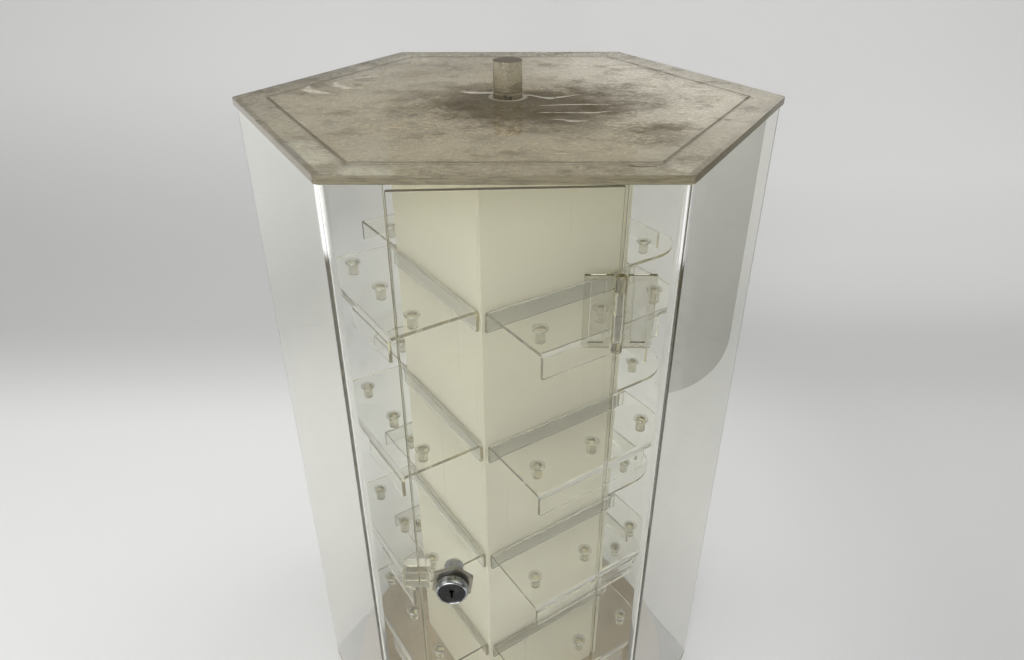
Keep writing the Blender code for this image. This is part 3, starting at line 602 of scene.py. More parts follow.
def plated(name, shade, roughness, grime):
    """Plated metal with handling marks and dirt settled on it."""
    shades = bpy.context.scene.case_colours
    material, wire, place = new_material(name)
    cloud = place.noise(180.0, 5.0, 0.65)
    scratch = place.stretched((2500, 500, 2500)).noise(1.0, 2.0)
    dirt = cloud.ramp(0.50, 0.68) * grime
    metal = surface(wire, dirt.blend(shade, shades.grime),
                    cloud.ramp(0.3, 0.7, roughness, roughness + 0.18),
                    bump(scratch, 0.06, 0.0001), Metallic=(1 - dirt))
    return finish_material(material, metal)


def zinc_steel(name):
    """Plated steel of the bearing, the screws and the lock's cam."""
    return plated(name, bpy.context.scene.case_colours.zinc, 0.28, 0.8)


# Modelling

def deselect_all():
    """Deselect every object, because an operator acts on all that is selected."""
    bpy.ops.object.select_all(action="DESELECT")


def lone(piece):
    """Select one object alone and make it the active one."""
    deselect_all()
    piece.select_set(True)
    bpy.context.view_layer.objects.active = piece


def settle(name=None, piece=None):
    """Put an object's place and turn into its mesh, and name it."""
    piece = piece or bpy.context.active_object
    lone(piece)
    bpy.ops.object.transform_apply(location=True, rotation=True, scale=True)
    if name:
        piece.name = piece.data.name = name
    return piece


def block(name, low, high):
    """A cube primitive filling a box."""
    low, high = Vector(low), Vector(high)
    deselect_all()
    bpy.ops.mesh.primitive_cube_add(size=1, location=(low + high) / 2, scale=high - low)
    return settle(name)


def flat(name, low, high, height=0.0):
    """A plane primitive filling a level rectangle."""
    (left, front), (right, back) = low, high
    deselect_all()
    bpy.ops.mesh.primitive_plane_add(size=1, location=((left + right) / 2, (front + back) / 2,
                                                       height))
    plane = bpy.context.active_object
    plane.scale = (right - left, back - front, 1)
    return settle(name)


def rod(name, radius, low, high, vertices, centre=(0, 0), turn=0.0, ends="NGON"):
    """An upright cylinder primitive."""
    deselect_all()
    bpy.ops.mesh.primitive_cylinder_add(
        vertices=vertices, radius=radius, depth=high - low, location=(*centre, (low + high) / 2),
        rotation=(0, 0, turn), end_fill_type=ends)
    return settle(name)


@contextmanager
def editing(piece):
    """Edit one mesh, and leave edit mode afterwards."""
    lone(piece)
    bpy.ops.object.mode_set(mode="EDIT")
    yield
    bpy.ops.object.mode_set(mode="OBJECT")


def pick(mode, kind, test):
    """In edit mode, select the faces, edges or vertices that pass a test."""
    bpy.ops.mesh.select_mode(type=mode)
    bpy.ops.mesh.select_all(action="DESELECT")
    mesh = bmesh.from_edit_mesh(bpy.context.edit_object.data)
    for item in getattr(mesh, kind):
        item.select_set(bool(test(item)))
    mesh.select_flush_mode()
    bmesh.update_edit_mesh(bpy.context.edit_object.data)


def pick_faces(test):
    """Select the faces whose middle and direction pass a test."""
    pick("FACE", "faces", lambda face: test(face.calc_center_median(), face.normal))


def pick_edges(test):
    """Select the edges whose middle and direction pass a test."""
    def passes(edge):
        first, second = (corner.co for corner in edge.verts)
        return test((first + second) / 2, (second - first).normalized())
    pick("EDGE", "edges", passes)


def pick_corners(test):
    """Select the vertices whose place passes a test."""
    pick("VERT", "verts", lambda corner: test(corner.co))


def pull(offset):
    """Extrude the faces that are selected."""
    bpy.ops.mesh.extrude_region_move(TRANSFORM_OT_translate={"value": offset})


def pull_edges(offset):
    """Extrude the edges that are selected."""
    bpy.ops.mesh.extrude_edges_move(TRANSFORM_OT_translate={"value": offset})


def round_edges(width, segments):
    """Bevel the edges that are selected to round bends."""
    bpy.ops.mesh.bevel(offset=width, segments=segments, profile=0.5, affect="EDGES")


def face_outwards():
    """Point every face of the mesh outwards."""
    bpy.ops.mesh.select_all(action="SELECT")
    bpy.ops.mesh.normals_make_consistent(inside=False)


def turned(name, profile, vertices):
    """Turn a closed piece about Z from its lowest disc up: extrude the cap and scale it."""
    (radius, height), *steps = profile
    deselect_all()
    bpy.ops.mesh.primitive_circle_add(vertices=vertices, radius=radius, fill_type="NGON",
                                      location=(0, 0, height))
    piece = settle(name)
    with editing(piece):
        bpy.ops.mesh.select_all(action="SELECT")
        for next_radius, next_height in steps:
            pull((0, 0, next_height - height))
            scale = next_radius / radius
            bpy.ops.transform.resize(value=(scale, scale, 1), center_override=(0, 0, next_height))
            radius, height = next_radius, next_height
        face_outwards()
    return piece


def applied(piece, kind, **settings):
    """Add a modifier and apply it."""
    lone(piece)
    modifier = piece.modifiers.new(kind.title(), kind)
    for name, value in settings.items():
        setattr(modifier, name, value)
    bpy.ops.object.modifier_apply(modifier=modifier.name)
    return piece


def cut(piece, tool, operation="DIFFERENCE"):
    """Cut a piece with another mesh or join them, and remove the tool."""
    applied(piece, "BOOLEAN", operation=operation, solver="EXACT", object=tool)
    bpy.data.objects.remove(tool, do_unlink=True)
    return piece


def gathered(pieces):
    """Join separate meshes into the first one."""
    deselect_all()
    for piece in pieces:
        piece.select_set(True)
    bpy.context.view_layer.objects.active = pieces[0]
    bpy.ops.object.join()
    return pieces[0]


def copied(piece, name, offset=(0, 0, 0), turn=0.0):
    """Copy a piece with its own mesh, turned about Z and then moved."""
    copy = piece.copy()
    copy.data = piece.data.copy()
    bpy.context.scene.collection.objects.link(copy)
    copy.rotation_euler = (0, 0, turn)
    copy.location = offset
    return settle(name, copy)


def eased(piece, width, segments=2, angle=SMOOTH_ANGLE):
    """Round a piece's sharp edges and shade it smooth between them."""
    applied(piece, "BEVEL", width=width, segments=segments, limit_method="ANGLE",
            angle_limit=radians(angle), use_clamp_overlap=True)
    return shaded(piece)


def shaded(piece):
    """Shade a piece smooth where its faces turn little, and keep its large faces flat."""
    lone(piece)
    bpy.ops.object.shade_smooth_by_angle(angle=radians(SMOOTH_ANGLE))
    return applied(piece, "WEIGHTED_NORMAL", mode="FACE_AREA", weight=100, keep_sharp=True)


def hexagonal(name, apothem, low, high, corner, segments=6, turn=30.0, ends="NGON"):
    """An upright hexagon with rounded corners; turned by 30 its flats face front and back."""
    piece = rod(name, apothem * 2 / sqrt(3), low, high, 6, turn=radians(turn), ends=ends)
    if corner:
        with editing(piece):
            pick_edges(lambda middle, way: abs(way.z) > 0.9)
            round_edges(corner * tan(radians(30)), segments)
    return piece


def dressed(piece, material, body, slot, *nodes):
    """Give a finished piece its material and body, and name the nodes it stands for; its slot is not
    used.
    """
    piece.data.materials.clear()
    piece.data.materials.append(material)
    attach(piece, body)
    if nodes:
        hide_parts(*nodes)
    return piece


def shared(name, maker):
    """Make a material once and share it."""
    return bpy.data.materials.get(name) or maker(name)


def square_places(offset):
    """The four corners of a square round the axis."""
    return [(offset, offset), (-offset, offset), (-offset, -offset), (offset, -offset)]


# Pieces

class MakeBasePlate(bpy.types.Operator):
    """Base plate, drilled from above for the bearing's screws"""
    bl_idname = "display_case.base_plate"
    bl_label = "Base plate"

    def execute(self, context):
        sizes = context.scene.case_sizes
        low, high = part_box("base_plate")
        plate = hexagonal("case_base", high.y, low.z, high.z, sizes.plate_corner)
        drills = [rod("drill", BASE_HOLE, high.z - BASE_HOLE_DEPTH, high.z + PAST, 16, place)
                  for place in square_places(sizes.screw_offset)]
        eased(cut(plate, gathered(drills)), sizes.polished_edge)
        dressed(plate, base_acrylic(), "case", "base_acrylic", "base_plate")
        return {"FINISHED"}


class MakeTopPlate(bpy.types.Operator):
    """Top plate with the hole that the knob comes through"""
    bl_idname = "display_case.top_plate"
    bl_label = "Top plate"

    def execute(self, context):
        sizes = context.scene.case_sizes
        low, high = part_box("top_plate")
        plate = hexagonal("case_top", high.y, low.z, high.z, sizes.plate_corner)
        drill = rod("drill", sizes.knob_hole, low.z - PAST, high.z + PAST, 64)
        eased(cut(plate, drill), sizes.polished_edge)
        dressed(plate, dusty_acrylic(), "case", "dusty_acrylic", "top_plate")
        return {"FINISHED"}


class MakeWalls(bpy.types.Operator):
    """The two wall shells, each bent three times"""
    bl_idname = "display_case.walls"
    bl_label = "Walls"

    def execute(self, context):
        sizes = context.scene.case_sizes
        material = wall_acrylic()
        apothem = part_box("base_plate")[1].y
        for word, side in SIDES.items():
            node = f"case_wall_{word}"
            low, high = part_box(node)
            wall = hexagonal(f"{word}_wall", apothem, low.z, high.z, sizes.wall_bend, 8,
                             ends="NOTHING")
            strip_end = sizes.left_strip if side < 0 else sizes.right_strip
            with editing(wall):
                bpy.ops.mesh.select_all(action="SELECT")
                bpy.ops.mesh.bisect(plane_co=(side * sizes.seam, 0, 0), plane_no=(side, 0, 0),
                                    clear_inner=True)
                pick_faces(lambda middle, normal: normal.y < -0.99)
                bpy.ops.mesh.bisect(plane_co=(strip_end, 0, 0), plane_no=(side, 0, 0),
                                    clear_inner=True)
                face_outwards()
                pick_faces(lambda middle, normal: middle.x * normal.x + middle.y * normal.y < 0)
                bpy.ops.mesh.flip_normals()
            applied(wall, "SOLIDIFY", thickness=sizes.wall_sheet, offset=-1, use_even_offset=True)
            eased(wall, sizes.polished_edge, angle=60.0)
            dressed(wall, material, "case", "clear_acrylic", node)
        return {"FINISHED"}


class MakeKeeper(bpy.types.Operator):
    """Clear block behind the left strip, which stops the door and holds the lock's cam"""
    bl_idname = "display_case.keeper"
    bl_label = "Lock keeper"

    def execute(self, context):
        keeper = eased(block("door_stop_block", *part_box("lock_keeper")), KEEPER_EDGE, 3)
        dressed(keeper, moulded_acrylic("Keeper block", KEEPER_DENSITY), "case", "moulded_acrylic",
                "lock_keeper")
        return {"FINISHED"}


class MakeDoor(bpy.types.Operator):
    """Door panel: its top edge slopes, and it is drilled for the lock"""
    bl_idname = "display_case.door"
    bl_label = "Door panel"

    def execute(self, context):
        sizes = context.scene.case_sizes
        low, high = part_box("door_panel")
        door = block("door_sheet", low, high)
        middle = (low + high) / 2
        with editing(door):
            pick_corners(lambda place: place.z > middle.z and place.x < middle.x)
            bpy.ops.transform.translate(value=(0, 0, -sizes.door_sag))
        lock_low, lock_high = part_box("lock_plug")
        drill = rod("drill", LOCK_HOLE, low.y - high.y - PAST, PAST, 48)
        drill.rotation_euler = (pi / 2, 0, 0)
        drill.location = ((lock_low.x + lock_high.x) / 2, low.y, (lock_low.z + lock_high.z) / 2)
        eased(cut(door, settle(None, drill)), sizes.polished_edge)
        dressed(door, clear_acrylic("Door sheet", door_rim), "door", "clear_acrylic", "door_panel")
        return {"FINISHED"}


class MakeHinges(bpy.types.Operator):
    """Both moulded hinges: a leaf on the case, a leaf on the door and the pin between them"""
    bl_idname = "display_case.hinges"
    bl_label = "Hinges"

    def leaf(self, sizes, name, node, axis, side):
        """A plate with a recess in its front, a tab to the knuckle and the bored knuckle."""
        low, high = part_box(node)
        front = high.y - LEAF_SHEET
        near, far = axis[0] + side * sizes.hinge_setback, (high.x if side > 0 else low.x)
        plate = block(name, (min(near, far), front, low.z), (max(near, far), high.y, high.z))
        centre = (low.z + high.z) / 2
        knuckle_low, knuckle_high = centre, centre + KNUCKLE_UP
        if side > 0:
            knuckle_low, knuckle_high = centre - KNUCKLE_DOWN, centre - CLEARANCE
        with editing(plate):
            for height in (knuckle_low, knuckle_high):
                bpy.ops.mesh.select_all(action="SELECT")
                bpy.ops.mesh.bisect(plane_co=(0, 0, height), plane_no=(0, 0, 1))
            pick_faces(lambda middle, normal: normal.x * side < -0.9
                       and knuckle_low < middle.z < knuckle_high)
            pull((-side * (sizes.hinge_setback - TAB_END), 0, 0))
            pick_faces(lambda middle, normal: normal.y < -0.9
                       and (middle.x - near) * side > 0)
            bpy.ops.mesh.inset(thickness=sizes.hinge_rim)
            bpy.ops.mesh.inset(thickness=RECESS_SLOPE, depth=-sizes.hinge_recess)
        barrel = rod("barrel", sizes.knuckle, knuckle_low, knuckle_high, 32, axis)
        bore = rod("bore", sizes.knuckle_bore, knuckle_low - PAST, knuckle_high + PAST, 32, axis)
        cut(cut(plate, barrel, "UNION"), bore)
        return eased(plate, LEAF_EDGE)

    def execute(self, context):
        sizes = context.scene.case_sizes
        material = shared("Moulded acrylic", moulded_acrylic)
        for level in HINGE_LEVELS:
            low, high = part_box(f"{level}_hinge_pin")
            axis = ((low.x + high.x) / 2, (low.y + high.y) / 2)
            for word, side, body in (("case", 1, "case"), ("door", -1, "door")):
                node = f"{level}_hinge_{word}_leaf"
                leaf = self.leaf(sizes, f"{level}_{word}_leaf", node, axis, side)
                dressed(leaf, material, body, "moulded_acrylic", node)
            bottom, top, head = low.z, high.z, high.x - axis[0]
            pin = turned(f"{level}_pin", [
                (head * 0.70, bottom), (head * 0.93, bottom + 0.0006),
                (head * 0.97, bottom + 0.0016), (head * 0.97, bottom + 0.0087),
                (0.002, bottom + 0.0087), (0.002, top - 0.0110), (head * 0.96, top - 0.0110),
                (head, top - 0.0104), (head, top - 0.0014), (head * 0.93, top - 0.0006),
                (head * 0.75, top)], 32)
            pin.location = (*axis, 0)
            dressed(shaded(settle(None, pin)), material, "case", "moulded_acrylic",
                    f"{level}_hinge_pin")
        return {"FINISHED"}


class MakeLock(bpy.types.Operator):
    """Cam lock: plated body and nut, and the plug, cam and screw that turn in it"""
    bl_idname = "display_case.lock"
    bl_label = "Cam lock"

    def to_front(self, piece, place):
        """Lay a piece that was made upright along the lock's axis, its top to the viewer."""
        piece.rotation_euler = (pi / 2, 0, 0)
        piece.location = place
        return settle(None, piece)

    def execute(self, context):
        shades = context.scene.case_colours
        chrome = plated("Lock chrome", shades.chrome, 0.10, 0.5)
        black = plated("Lock face", shades.black, 0.22, 0.2)
        zinc = shared("Zinc steel", zinc_steel)
        panel_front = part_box("door_panel")[0].y
        low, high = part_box("lock_plug")
        place = ((low.x + high.x) / 2, panel_front, (low.z + high.z) / 2)
        tail = LOCK_TAIL

        body = turned("lock_housing", [
            (0.0086, tail), (0.0092, tail + 0.0006), (0.0092, 0.0003), (0.0139, 0.0003),
            (0.0143, 0.0007), (0.0143, 0.0036), (0.01415, 0.0050), (0.0139, 0.0062),
            (0.0136, 0.0070), (0.0132, 0.0076), (0.0127, 0.0080), (0.0122, 0.0080),
            (0.0118, 0.0076), (0.0118, 0.0060), (0.0064, 0.0060)], 64)
        cut(body, rod("bore", 0.0063, tail - PAST, 0.0065, 48))
        flats = [block("flat", (side * 0.0102 - 0.002, -0.012, tail - PAST),
                       (side * 0.0102 + 0.002, 0.012, -0.0048)) for side in (-1, 1)]
        cut(body, gathered(flats))
        dressed(self.to_front(shaded(body), place), chrome, "door", "lock_chrome", "lock_body")

        nut = hexagonal("lock_hex_nut", 0.0170, -0.0084, -0.0048, 0, turn=52.0)
        cut(nut, rod("bore", 0.0095, -0.0084 - PAST, -0.0048 + PAST, 48))
        eased(nut, SOFT_EDGE)
        dressed(self.to_front(nut, place), plated("Lock nut", shades.nut, 0.30, 0.9), "door",
                "zinc_steel", "lock_nut")

        plug = turned("lock_barrel", [
            (0.0033, tail - 0.0026), (0.0035, tail - 0.0024), (0.0035, tail + 0.0003),
            (0.0060, tail + 0.0003), (0.0060, 0.0063), (0.0115, 0.0063), (0.0115, 0.0076),
            (0.0111, 0.0080), (0.0100, 0.0080), (0.0096, 0.0077), (0.0060, 0.0077)], 48)
        cut(plug, block("keyway", (-0.0009, -0.0048, 0.0), (0.0009, 0.0034, 0.009)))
        cut(plug, rod("keyway_eye", 0.0021, 0.0, 0.009, 24, (0, 0.0026)))
        cut(plug, rod("screw_hole", 0.0018, tail - 0.0026 - PAST, tail + 0.0003, 24))
        dressed(self.to_front(shaded(plug), place), black, "lock", "lock_black", "lock_plug")

        cam_front = tail - CLEARANCE
        cam_back = cam_front - CAM_SHEET
        cam = rod("lock_arm", 0.008, cam_back, cam_front, 48)
        arm = block("arm", (-0.0065, -0.030, cam_back), (0.0065, 0, cam_front))
        with editing(arm):
            pick_edges(lambda middle, way: abs(way.z) > 0.9 and middle.y < -0.02)
            round_edges(0.003, 5)
        cut(cam, arm, "UNION")
        cut(cam, rod("bore", 0.0038, cam_back - PAST, cam_front + PAST, 32))
        eased(cam, FINE_EDGE)
        dressed(self.to_front(cam, place), zinc, "lock", "zinc_steel", "lock_cam")

        seat = tail - 0.0029
        screw = turned("lock_arm_screw", [
            (0.0038, seat - 0.0018), (0.0047, seat - 0.0013), (0.0052, seat - 0.0007),
            (0.0052, seat), (0.0015, seat), (0.0015, tail - 0.0003)], 40)
        for low_corner, high_corner in (((-0.0026, -0.0005), (0.0026, 0.0005)),
                                        ((-0.0005, -0.0026), (0.0005, 0.0026))):
            cut(screw, block("slot", (*low_corner, seat - 0.003), (*high_corner, seat - 0.0008)))
        dressed(self.to_front(shaded(screw), place), zinc, "lock", "zinc_steel", "lock_cam_screw")
        return {"FINISHED"}


class MakeDisc(bpy.types.Operator):
    """Round turntable disc, countersunk for its screws"""
    bl_idname = "display_case.disc"
    bl_label = "Turntable disc"

    def execute(self, context):
        sizes = context.scene.case_sizes
        low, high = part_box("turntable_disc")
        disc = rod("turning_disc", high.x, low.z, high.z, 160)
        sinks = []
        for x, y in square_places(sizes.screw_offset):
            sink = turned("sink", [(sizes.screw_hole, low.z - PAST),
                                   (sizes.screw_hole, high.z - 0.0028),
                                   (0.0041, high.z - 0.0006), (0.0041, high.z + PAST)], 24)
            spot = Matrix.Rotation(COLUMN_TURN, 3, "Z") @ Vector((x, y, 0))
            sink.location = spot
            sinks.append(settle(None, sink))
        eased(cut(disc, gathered(sinks)), DISC_EDGE, 3)
        dressed(disc, shared("Brown board", brown_board), "carousel", "brown_board",
                "turntable_disc")
        return {"FINISHED"}


class MakeColumn(bpy.types.Operator):
    """Column of four bonded panels with the cap inside their top"""
    bl_idname = "display_case.column"
    bl_label = "Column"

    def execute(self, context):
        sizes = context.scene.case_sizes
        outside, inside = COLUMN_HALF, COLUMN_HALF - sizes.column_sheet
        low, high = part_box("column_panel_front_right")
        inner = inside - CLEARANCE
        cream = cream_acrylic()
        panel = block("panel", (inside, -outside, low.z), (outside, inner, high.z))
        eased(panel, SOFT_EDGE)
        for face, turn in SHELF_TURNS.items():
            side = copied(panel, f"panel_{face}", turn=COLUMN_TURN + turn * pi / 2)
            dressed(side, cream, "carousel", "cream_acrylic", f"column_panel_{face}")
        bpy.data.objects.remove(panel, do_unlink=True)

        cap_low, cap_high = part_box("column_cap")
        cap = block("cap", (-inner, -inner, cap_low.z), (inner, inner, cap_high.z))
        cut(cap, rod("drill", KNOB_SCREW_HOLE, cap_low.z - PAST, cap_high.z + PAST, 24))
        cap.rotation_euler.z = COLUMN_TURN
        eased(settle("column_lid", cap), SOFT_EDGE)
        # Painted shade: the cap is dark brown board, standing for the column's shaded hollow top
        dressed(cap, shared("Brown board", brown_board), "carousel", "brown_board",
                "column_cap")
        return {"FINISHED"}


class MakeKnob(bpy.types.Operator):
    """Clear rod that turns the column"""
    bl_idname = "display_case.knob"
    bl_label = "Turning knob"

    def execute(self, context):
        low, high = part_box("turning_knob")
        radius = high.x
        knob = turned("rod_knob", [
            (radius - 0.0004, low.z), (radius, low.z + 0.0004), (radius, high.z - 0.0007),
            (radius - 0.0002, high.z - 0.0002), (radius - 0.0007, high.z)], 96)
        cut(knob, rod("drill", KNOB_SCREW_HOLE, low.z - PAST, low.z + KNOB_SCREW_DEPTH, 24))
        dressed(shaded(knob), knob_acrylic(), "carousel", "clear_acrylic", "turning_knob")
        return {"FINISHED"}


class MakeShelves(bpy.types.Operator):
    """Bent shelves on the column's four faces, at four levels, each with three clear studs"""
    bl_idname = "display_case.shelves"
    bl_label = "Shelves"

    def sheet(self, sizes, face, inner, outer):
        """One shelf in front of the column's +X face, its top at height 0."""
        low, high = SHELF_ENDS[face]
        shelf = flat("shelf", (inner, low), (outer, high))
        with editing(shelf):
            pick_edges(lambda middle, way: middle.x < inner + 0.001)
            pull_edges((0, 0, -SHELF_FLANGE))
            pick_edges(lambda middle, way: middle.x > outer - 0.001)
            pull_edges((0, 0, -SHELF_LIP))
            pick_edges(lambda middle, way: abs(way.y) > 0.9 and middle.z > -0.001)
            round_edges(sizes.shelf_bend, 6)
            face_outwards()
            mesh = bmesh.from_edit_mesh(shelf.data)
            top = max(mesh.faces, key=lambda item: item.calc_area())
            if top.normal.z < 0:
                bpy.ops.mesh.flip_normals()
        applied(shelf, "SOLIDIFY", thickness=sizes.shelf_sheet, offset=-1, use_even_offset=True)
        return shelf

    def trim(self, sizes, shelf, face, outer):
        """Round a shelf's end in plan, and take the lip away where it is rounded."""
        low, high = SHELF_ENDS[face]
        side = 1 if face == "front_right" else -1
        end = high if side > 0 else low
        if face == "front_left":
            radius, start, near = sizes.shelf_arc, LONG_ARC_START, LONG_ARC_INSIDE
        else:
            radius, start, near = sizes.shelf_corner, end - side * sizes.shelf_corner, None
        centre = outer - radius
        foot, reach = -0.03, 0.01
        first, last = sorted((start, end + side * reach))
        waste = block("waste", (near or centre, first, foot), (outer + reach, last, reach))
        cut(waste, rod("disc", radius, foot - reach, 2 * reach, 256, (centre, start)))
        cut(shelf, waste)
        cut(shelf, block("lip", (outer - LIP_REACH, first, foot),
                         (outer + reach, last, -sizes.shelf_sheet)))

    def execute(self, context):
        sizes = context.scene.case_sizes
        clear = shared("Clear sheet", clear_acrylic)
        moulded = shared("Moulded acrylic", moulded_acrylic)
        inner, outer = COLUMN_HALF + CLEARANCE, SHELF_OUTER
        stud = turned("stud", [
            (0.0033, -0.0145), (0.0045, -0.0133), (0.0045, 0.0002), (0.0068, 0.0002),
            (0.0070, 0.0005), (0.0070, 0.0010), (0.0066, 0.0013), (0.0042, 0.0013),
            (0.0037, 0.0008), (0.0033, -0.0016)], 32)
        shaded(stud)
        for face, turn in SHELF_TURNS.items():
            shelf = self.sheet(sizes, face, inner, outer)
            self.trim(sizes, shelf, face, outer)
            eased(shelf, FINE_EDGE, angle=50.0)
            holes = [rod("hole", STUD_HOLE, -0.01, 0.01, 32, (STUD_LINE, along))
                     for along in STUD_PLACES[face]]
            shaded(cut(shelf, gathered(holes)))
            studs = gathered([copied(stud, "stud_copy", (STUD_LINE, along, 0))
                              for along in STUD_PLACES[face]])
            for tier in TIERS:
                node = f"shelf_{face}_{tier}"
                height = (0, 0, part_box(node)[1].z - STUD_RISE)
                angle = COLUMN_TURN + turn * pi / 2
                dressed(copied(shelf, f"bent_{node}", height, angle), clear, "carousel",
                        "clear_acrylic", node)
                dressed(copied(studs, f"studs_{face}_{tier}", height, angle), moulded,
                        "carousel", "clear_acrylic")
            for made in (shelf, studs):
                bpy.data.objects.remove(made, do_unlink=True)
        bpy.data.objects.remove(stud, do_unlink=True)
        return {"FINISHED"}


class DressHardware(bpy.types.Operator):
    """Finish of the bearing and the screws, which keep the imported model's shapes"""
    bl_idname = "display_case.hardware"
    bl_label = "Bearing and screws"

    def execute(self, context):
        zinc = shared("Zinc steel", zinc_steel)
        names = ["bearing_lower_plate", "bearing_upper_plate", "bearing_ball_ring", "knob_screw"]
        names += [f"{word}_screw_{number}" for word in ("base", "disc") for number in (1, 2, 3, 4)]
        for name in names:
            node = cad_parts[name]
            node.data.materials.clear()
            node.data.materials.append(zinc)
        return {"FINISHED"}


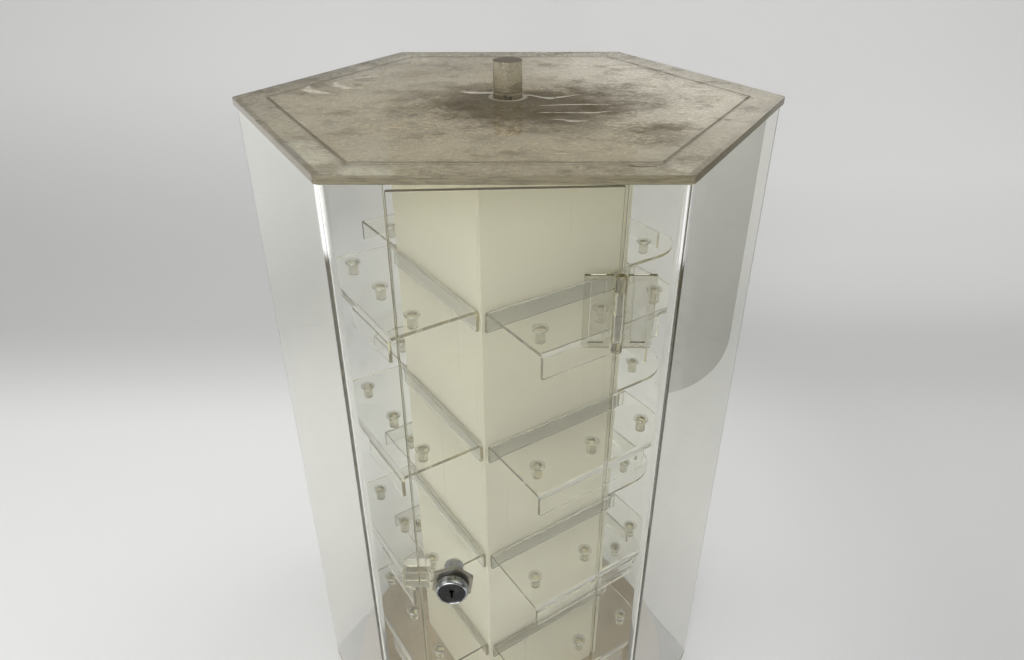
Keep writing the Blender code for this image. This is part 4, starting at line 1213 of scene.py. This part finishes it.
class MakeStage(bpy.types.Operator):
    """Pale floor and paper sweep, soft studio light and the camera"""
    bl_idname = "display_case.stage"
    bl_label = "Stage"

    def lamp(self, name, place, aim, width, height, power):
        """A white area light aimed at a point."""
        light = bpy.data.lights.new(name, "AREA")
        light.shape = "RECTANGLE"
        light.size, light.size_y, light.energy = width, height, power
        lamp = bpy.data.objects.new(name, light)
        bpy.context.scene.collection.objects.link(lamp)
        lamp.location = place
        lamp.rotation_euler = (Vector(aim) - Vector(place)).to_track_quat("-Z", "Y").to_euler()

    def matt(self, name, piece, shade):
        """Give a piece of the stage a matt finish that reflects nothing."""
        material, wire, place = new_material(name)
        piece.data.materials.append(finish_material(
            material, surface(wire, shade(place), 0.9, Specular_IOR_Level=0.0)))

    def sheet_of_paper(self, shade):
        """A paper sweep: floor, a wide curve and an upright back."""
        half_width, front, back, rise, curve = 6.0, -3.2, 1.55, 1.6, 0.9
        paper = flat("paper_sweep", (-half_width, front), (half_width, back), -0.0005)
        with editing(paper):
            pick_edges(lambda middle, way: middle.y > back - 0.001)
            pull_edges((0, 0, rise))
            pick_edges(lambda middle, way: abs(way.x) > 0.9 and middle.y > back - 0.001
                       and middle.z < 0.1)
            round_edges(curve, 32)
        shaded(paper)

        def tone(place):
            """Painted shade: darker where the sweep rises and at the right front, and lighter again
            up its back.
            """
            side, depth, height = (place.part(axis) for axis in range(3))
            right, up = side.ramp(0.1, 0.7), height.ramp(0.05, 0.50)
            level = (1 - depth.ramp(0.45, 0.86) * 0.90 + up * 0.80
                     - right * 0.75 + right * depth.ramp(0.45, 1.10) * 1.35)
            return level.blend(scaled(shade, 0.66), shade)
        self.matt("paper", paper, tone)

    def card(self, name, size, place, turns=(0, 0, 0), grey=0.0, glow=0.0, corner=0.0, fade=0.0):
        """A card beside the case that shows only in reflections; its foot can fade away."""
        width, height = size
        card = flat(name, (-width / 2, -height / 2), (width / 2, height / 2))
        if corner:
            with editing(card):
                pick_corners(lambda spot: spot.x < 0 and spot.y < 0)
                bpy.ops.mesh.bevel(offset=corner, segments=16, profile=0.5, affect="VERTICES")
        card.rotation_euler = [radians(turn) for turn in turns]
        card.location = place
        settle(name, card)
        material, wire, spot = new_material(name)
        paint = surface(wire, (grey, grey, grey), 0.9, Emission_Color=(1, 1, 1, 1),
                        Emission_Strength=glow, Alpha=spot.part(2).ramp(0, fade) if fade else 1.0)
        card.data.materials.append(finish_material(material, paint))
        for ray in ("camera", "diffuse", "transmission", "volume_scatter", "shadow"):
            setattr(card, f"visible_{ray}", False)

    def execute(self, context):
        scene = context.scene
        shades = scene.case_colours
        floor = flat("studio_floor", (-30, -30), (30, 30), -0.003)
        self.matt("studio_floor", floor, lambda place: shades.floor)
        self.sheet_of_paper(shades.paper)
        self.card("grey_card", (1.2, 1.0), (1.031, -0.021, 0.535), (90, 0, -42), grey=0.14,
                  corner=0.16)
        for word, side in SIDES.items():
            self.card(f"white_card_{word}", (2.45, 1.45), (side * 1.775, -0.875, 0), glow=1.5)
        self.card("white_card_back", (0.6, 0.8), (-0.76, 0.62, 0.40), (90, 0, 39), glow=0.88,
                  fade=0.42)

        # Grey room with a soft window high on each side, which shows in the acrylic
        world = bpy.data.worlds.new("studio")
        world.use_nodes = True
        world.node_tree.nodes.clear()
        sky = Wire(world.node_tree)
        way = sky.node("ShaderNodeTexCoord", output=0)
        light = way.part(2).ramp(-0.1, 0.30).blend((0.22, 0.21, 0.19), (0.38, 0.38, 0.39))
        light = way.dot((-0.74, 0.12, 0.66)).ramp(0.89, 0.97).blend(light, (2.2, 2.2, 2.15))
        light = way.dot((0.74, 0.12, 0.66)).ramp(0.90, 0.97).blend(light, (1.2, 1.2, 1.2))
        background = light.node("ShaderNodeBackground", (), {"Color": light, "Strength": 1.0})
        background.node("ShaderNodeOutputWorld", (), {"Surface": background})
        scene.world = world
        self.lamp("soft_box_front", (-0.58, -1.60, 0.90), (0, 0, 0.16), 1.5, 1.3, 26)
        self.lamp("soft_box_top", (0.7, 0.0, 2.2), (0.35, 0.0, 0), 1.3, 1.3, 8)
        self.lamp("backdrop_light", (0.7, 0.5, 2.4), (0.3, 1.55, 1.0), 1.6, 0.8, 5.5)

        # The photograph's camera, solved from the case's corners
        lens = bpy.data.cameras.new("photo_camera")
        lens.lens, lens.sensor_width, lens.clip_start = 26.27, 36, 0.01
        camera = bpy.data.objects.new("photo_camera", lens)
        scene.collection.objects.link(camera)
        camera.matrix_world = (Matrix.Translation((0.00865, -0.64474, 0.87632))
                               @ Matrix.Rotation(radians(0.504), 4, "Z")
                               @ Matrix.Rotation(radians(59.532), 4, "X")
                               @ Matrix.Rotation(radians(-0.1828), 4, "Z"))
        scene.camera = camera

        # Enough bounces for light to pass through every sheet of the case
        scene.view_settings.view_transform = "Standard"
        scene.cycles.max_bounces = 64
        scene.cycles.transmission_bounces = 64
        scene.cycles.transparent_max_bounces = 16
        scene.cycles.glossy_bounces = 64
        scene.cycles.diffuse_bounces = 3
        return {"FINISHED"}


STEPS = (MakeBasePlate, MakeTopPlate, MakeWalls, MakeKeeper, MakeDoor, MakeHinges, MakeLock,
         MakeDisc, MakeColumn, MakeKnob, MakeShelves, DressHardware, MakeStage)


class CasePanel(bpy.types.Panel):
    """Lists the steps that make the display case."""
    bl_idname = "VIEW3D_PT_display_case"
    bl_label = "Rotating display case"
    bl_space_type = "VIEW_3D"
    bl_region_type = "UI"
    bl_category = "Display case"

    def draw(self, context):
        for group in (context.scene.case_sizes, context.scene.case_colours):
            box = self.layout.box()
            for name in group.__annotations__:
                box.prop(group, name)
        for step in STEPS:
            self.layout.operator(step.bl_idname)


CLASSES = (CaseSizes, CaseColours, *STEPS, CasePanel)


def register():
    for made in CLASSES:
        bpy.utils.register_class(made)
    bpy.types.Scene.case_sizes = PointerProperty(type=CaseSizes)
    bpy.types.Scene.case_colours = PointerProperty(type=CaseColours)


def unregister():
    del bpy.types.Scene.case_colours
    del bpy.types.Scene.case_sizes
    for made in reversed(CLASSES):
        bpy.utils.unregister_class(made)


def main():
    """Make every piece in order."""
    register()
    for step in STEPS:
        group, name = step.bl_idname.split(".")
        getattr(getattr(bpy.ops, group), name)()


if __name__ == "__main__":
    main()
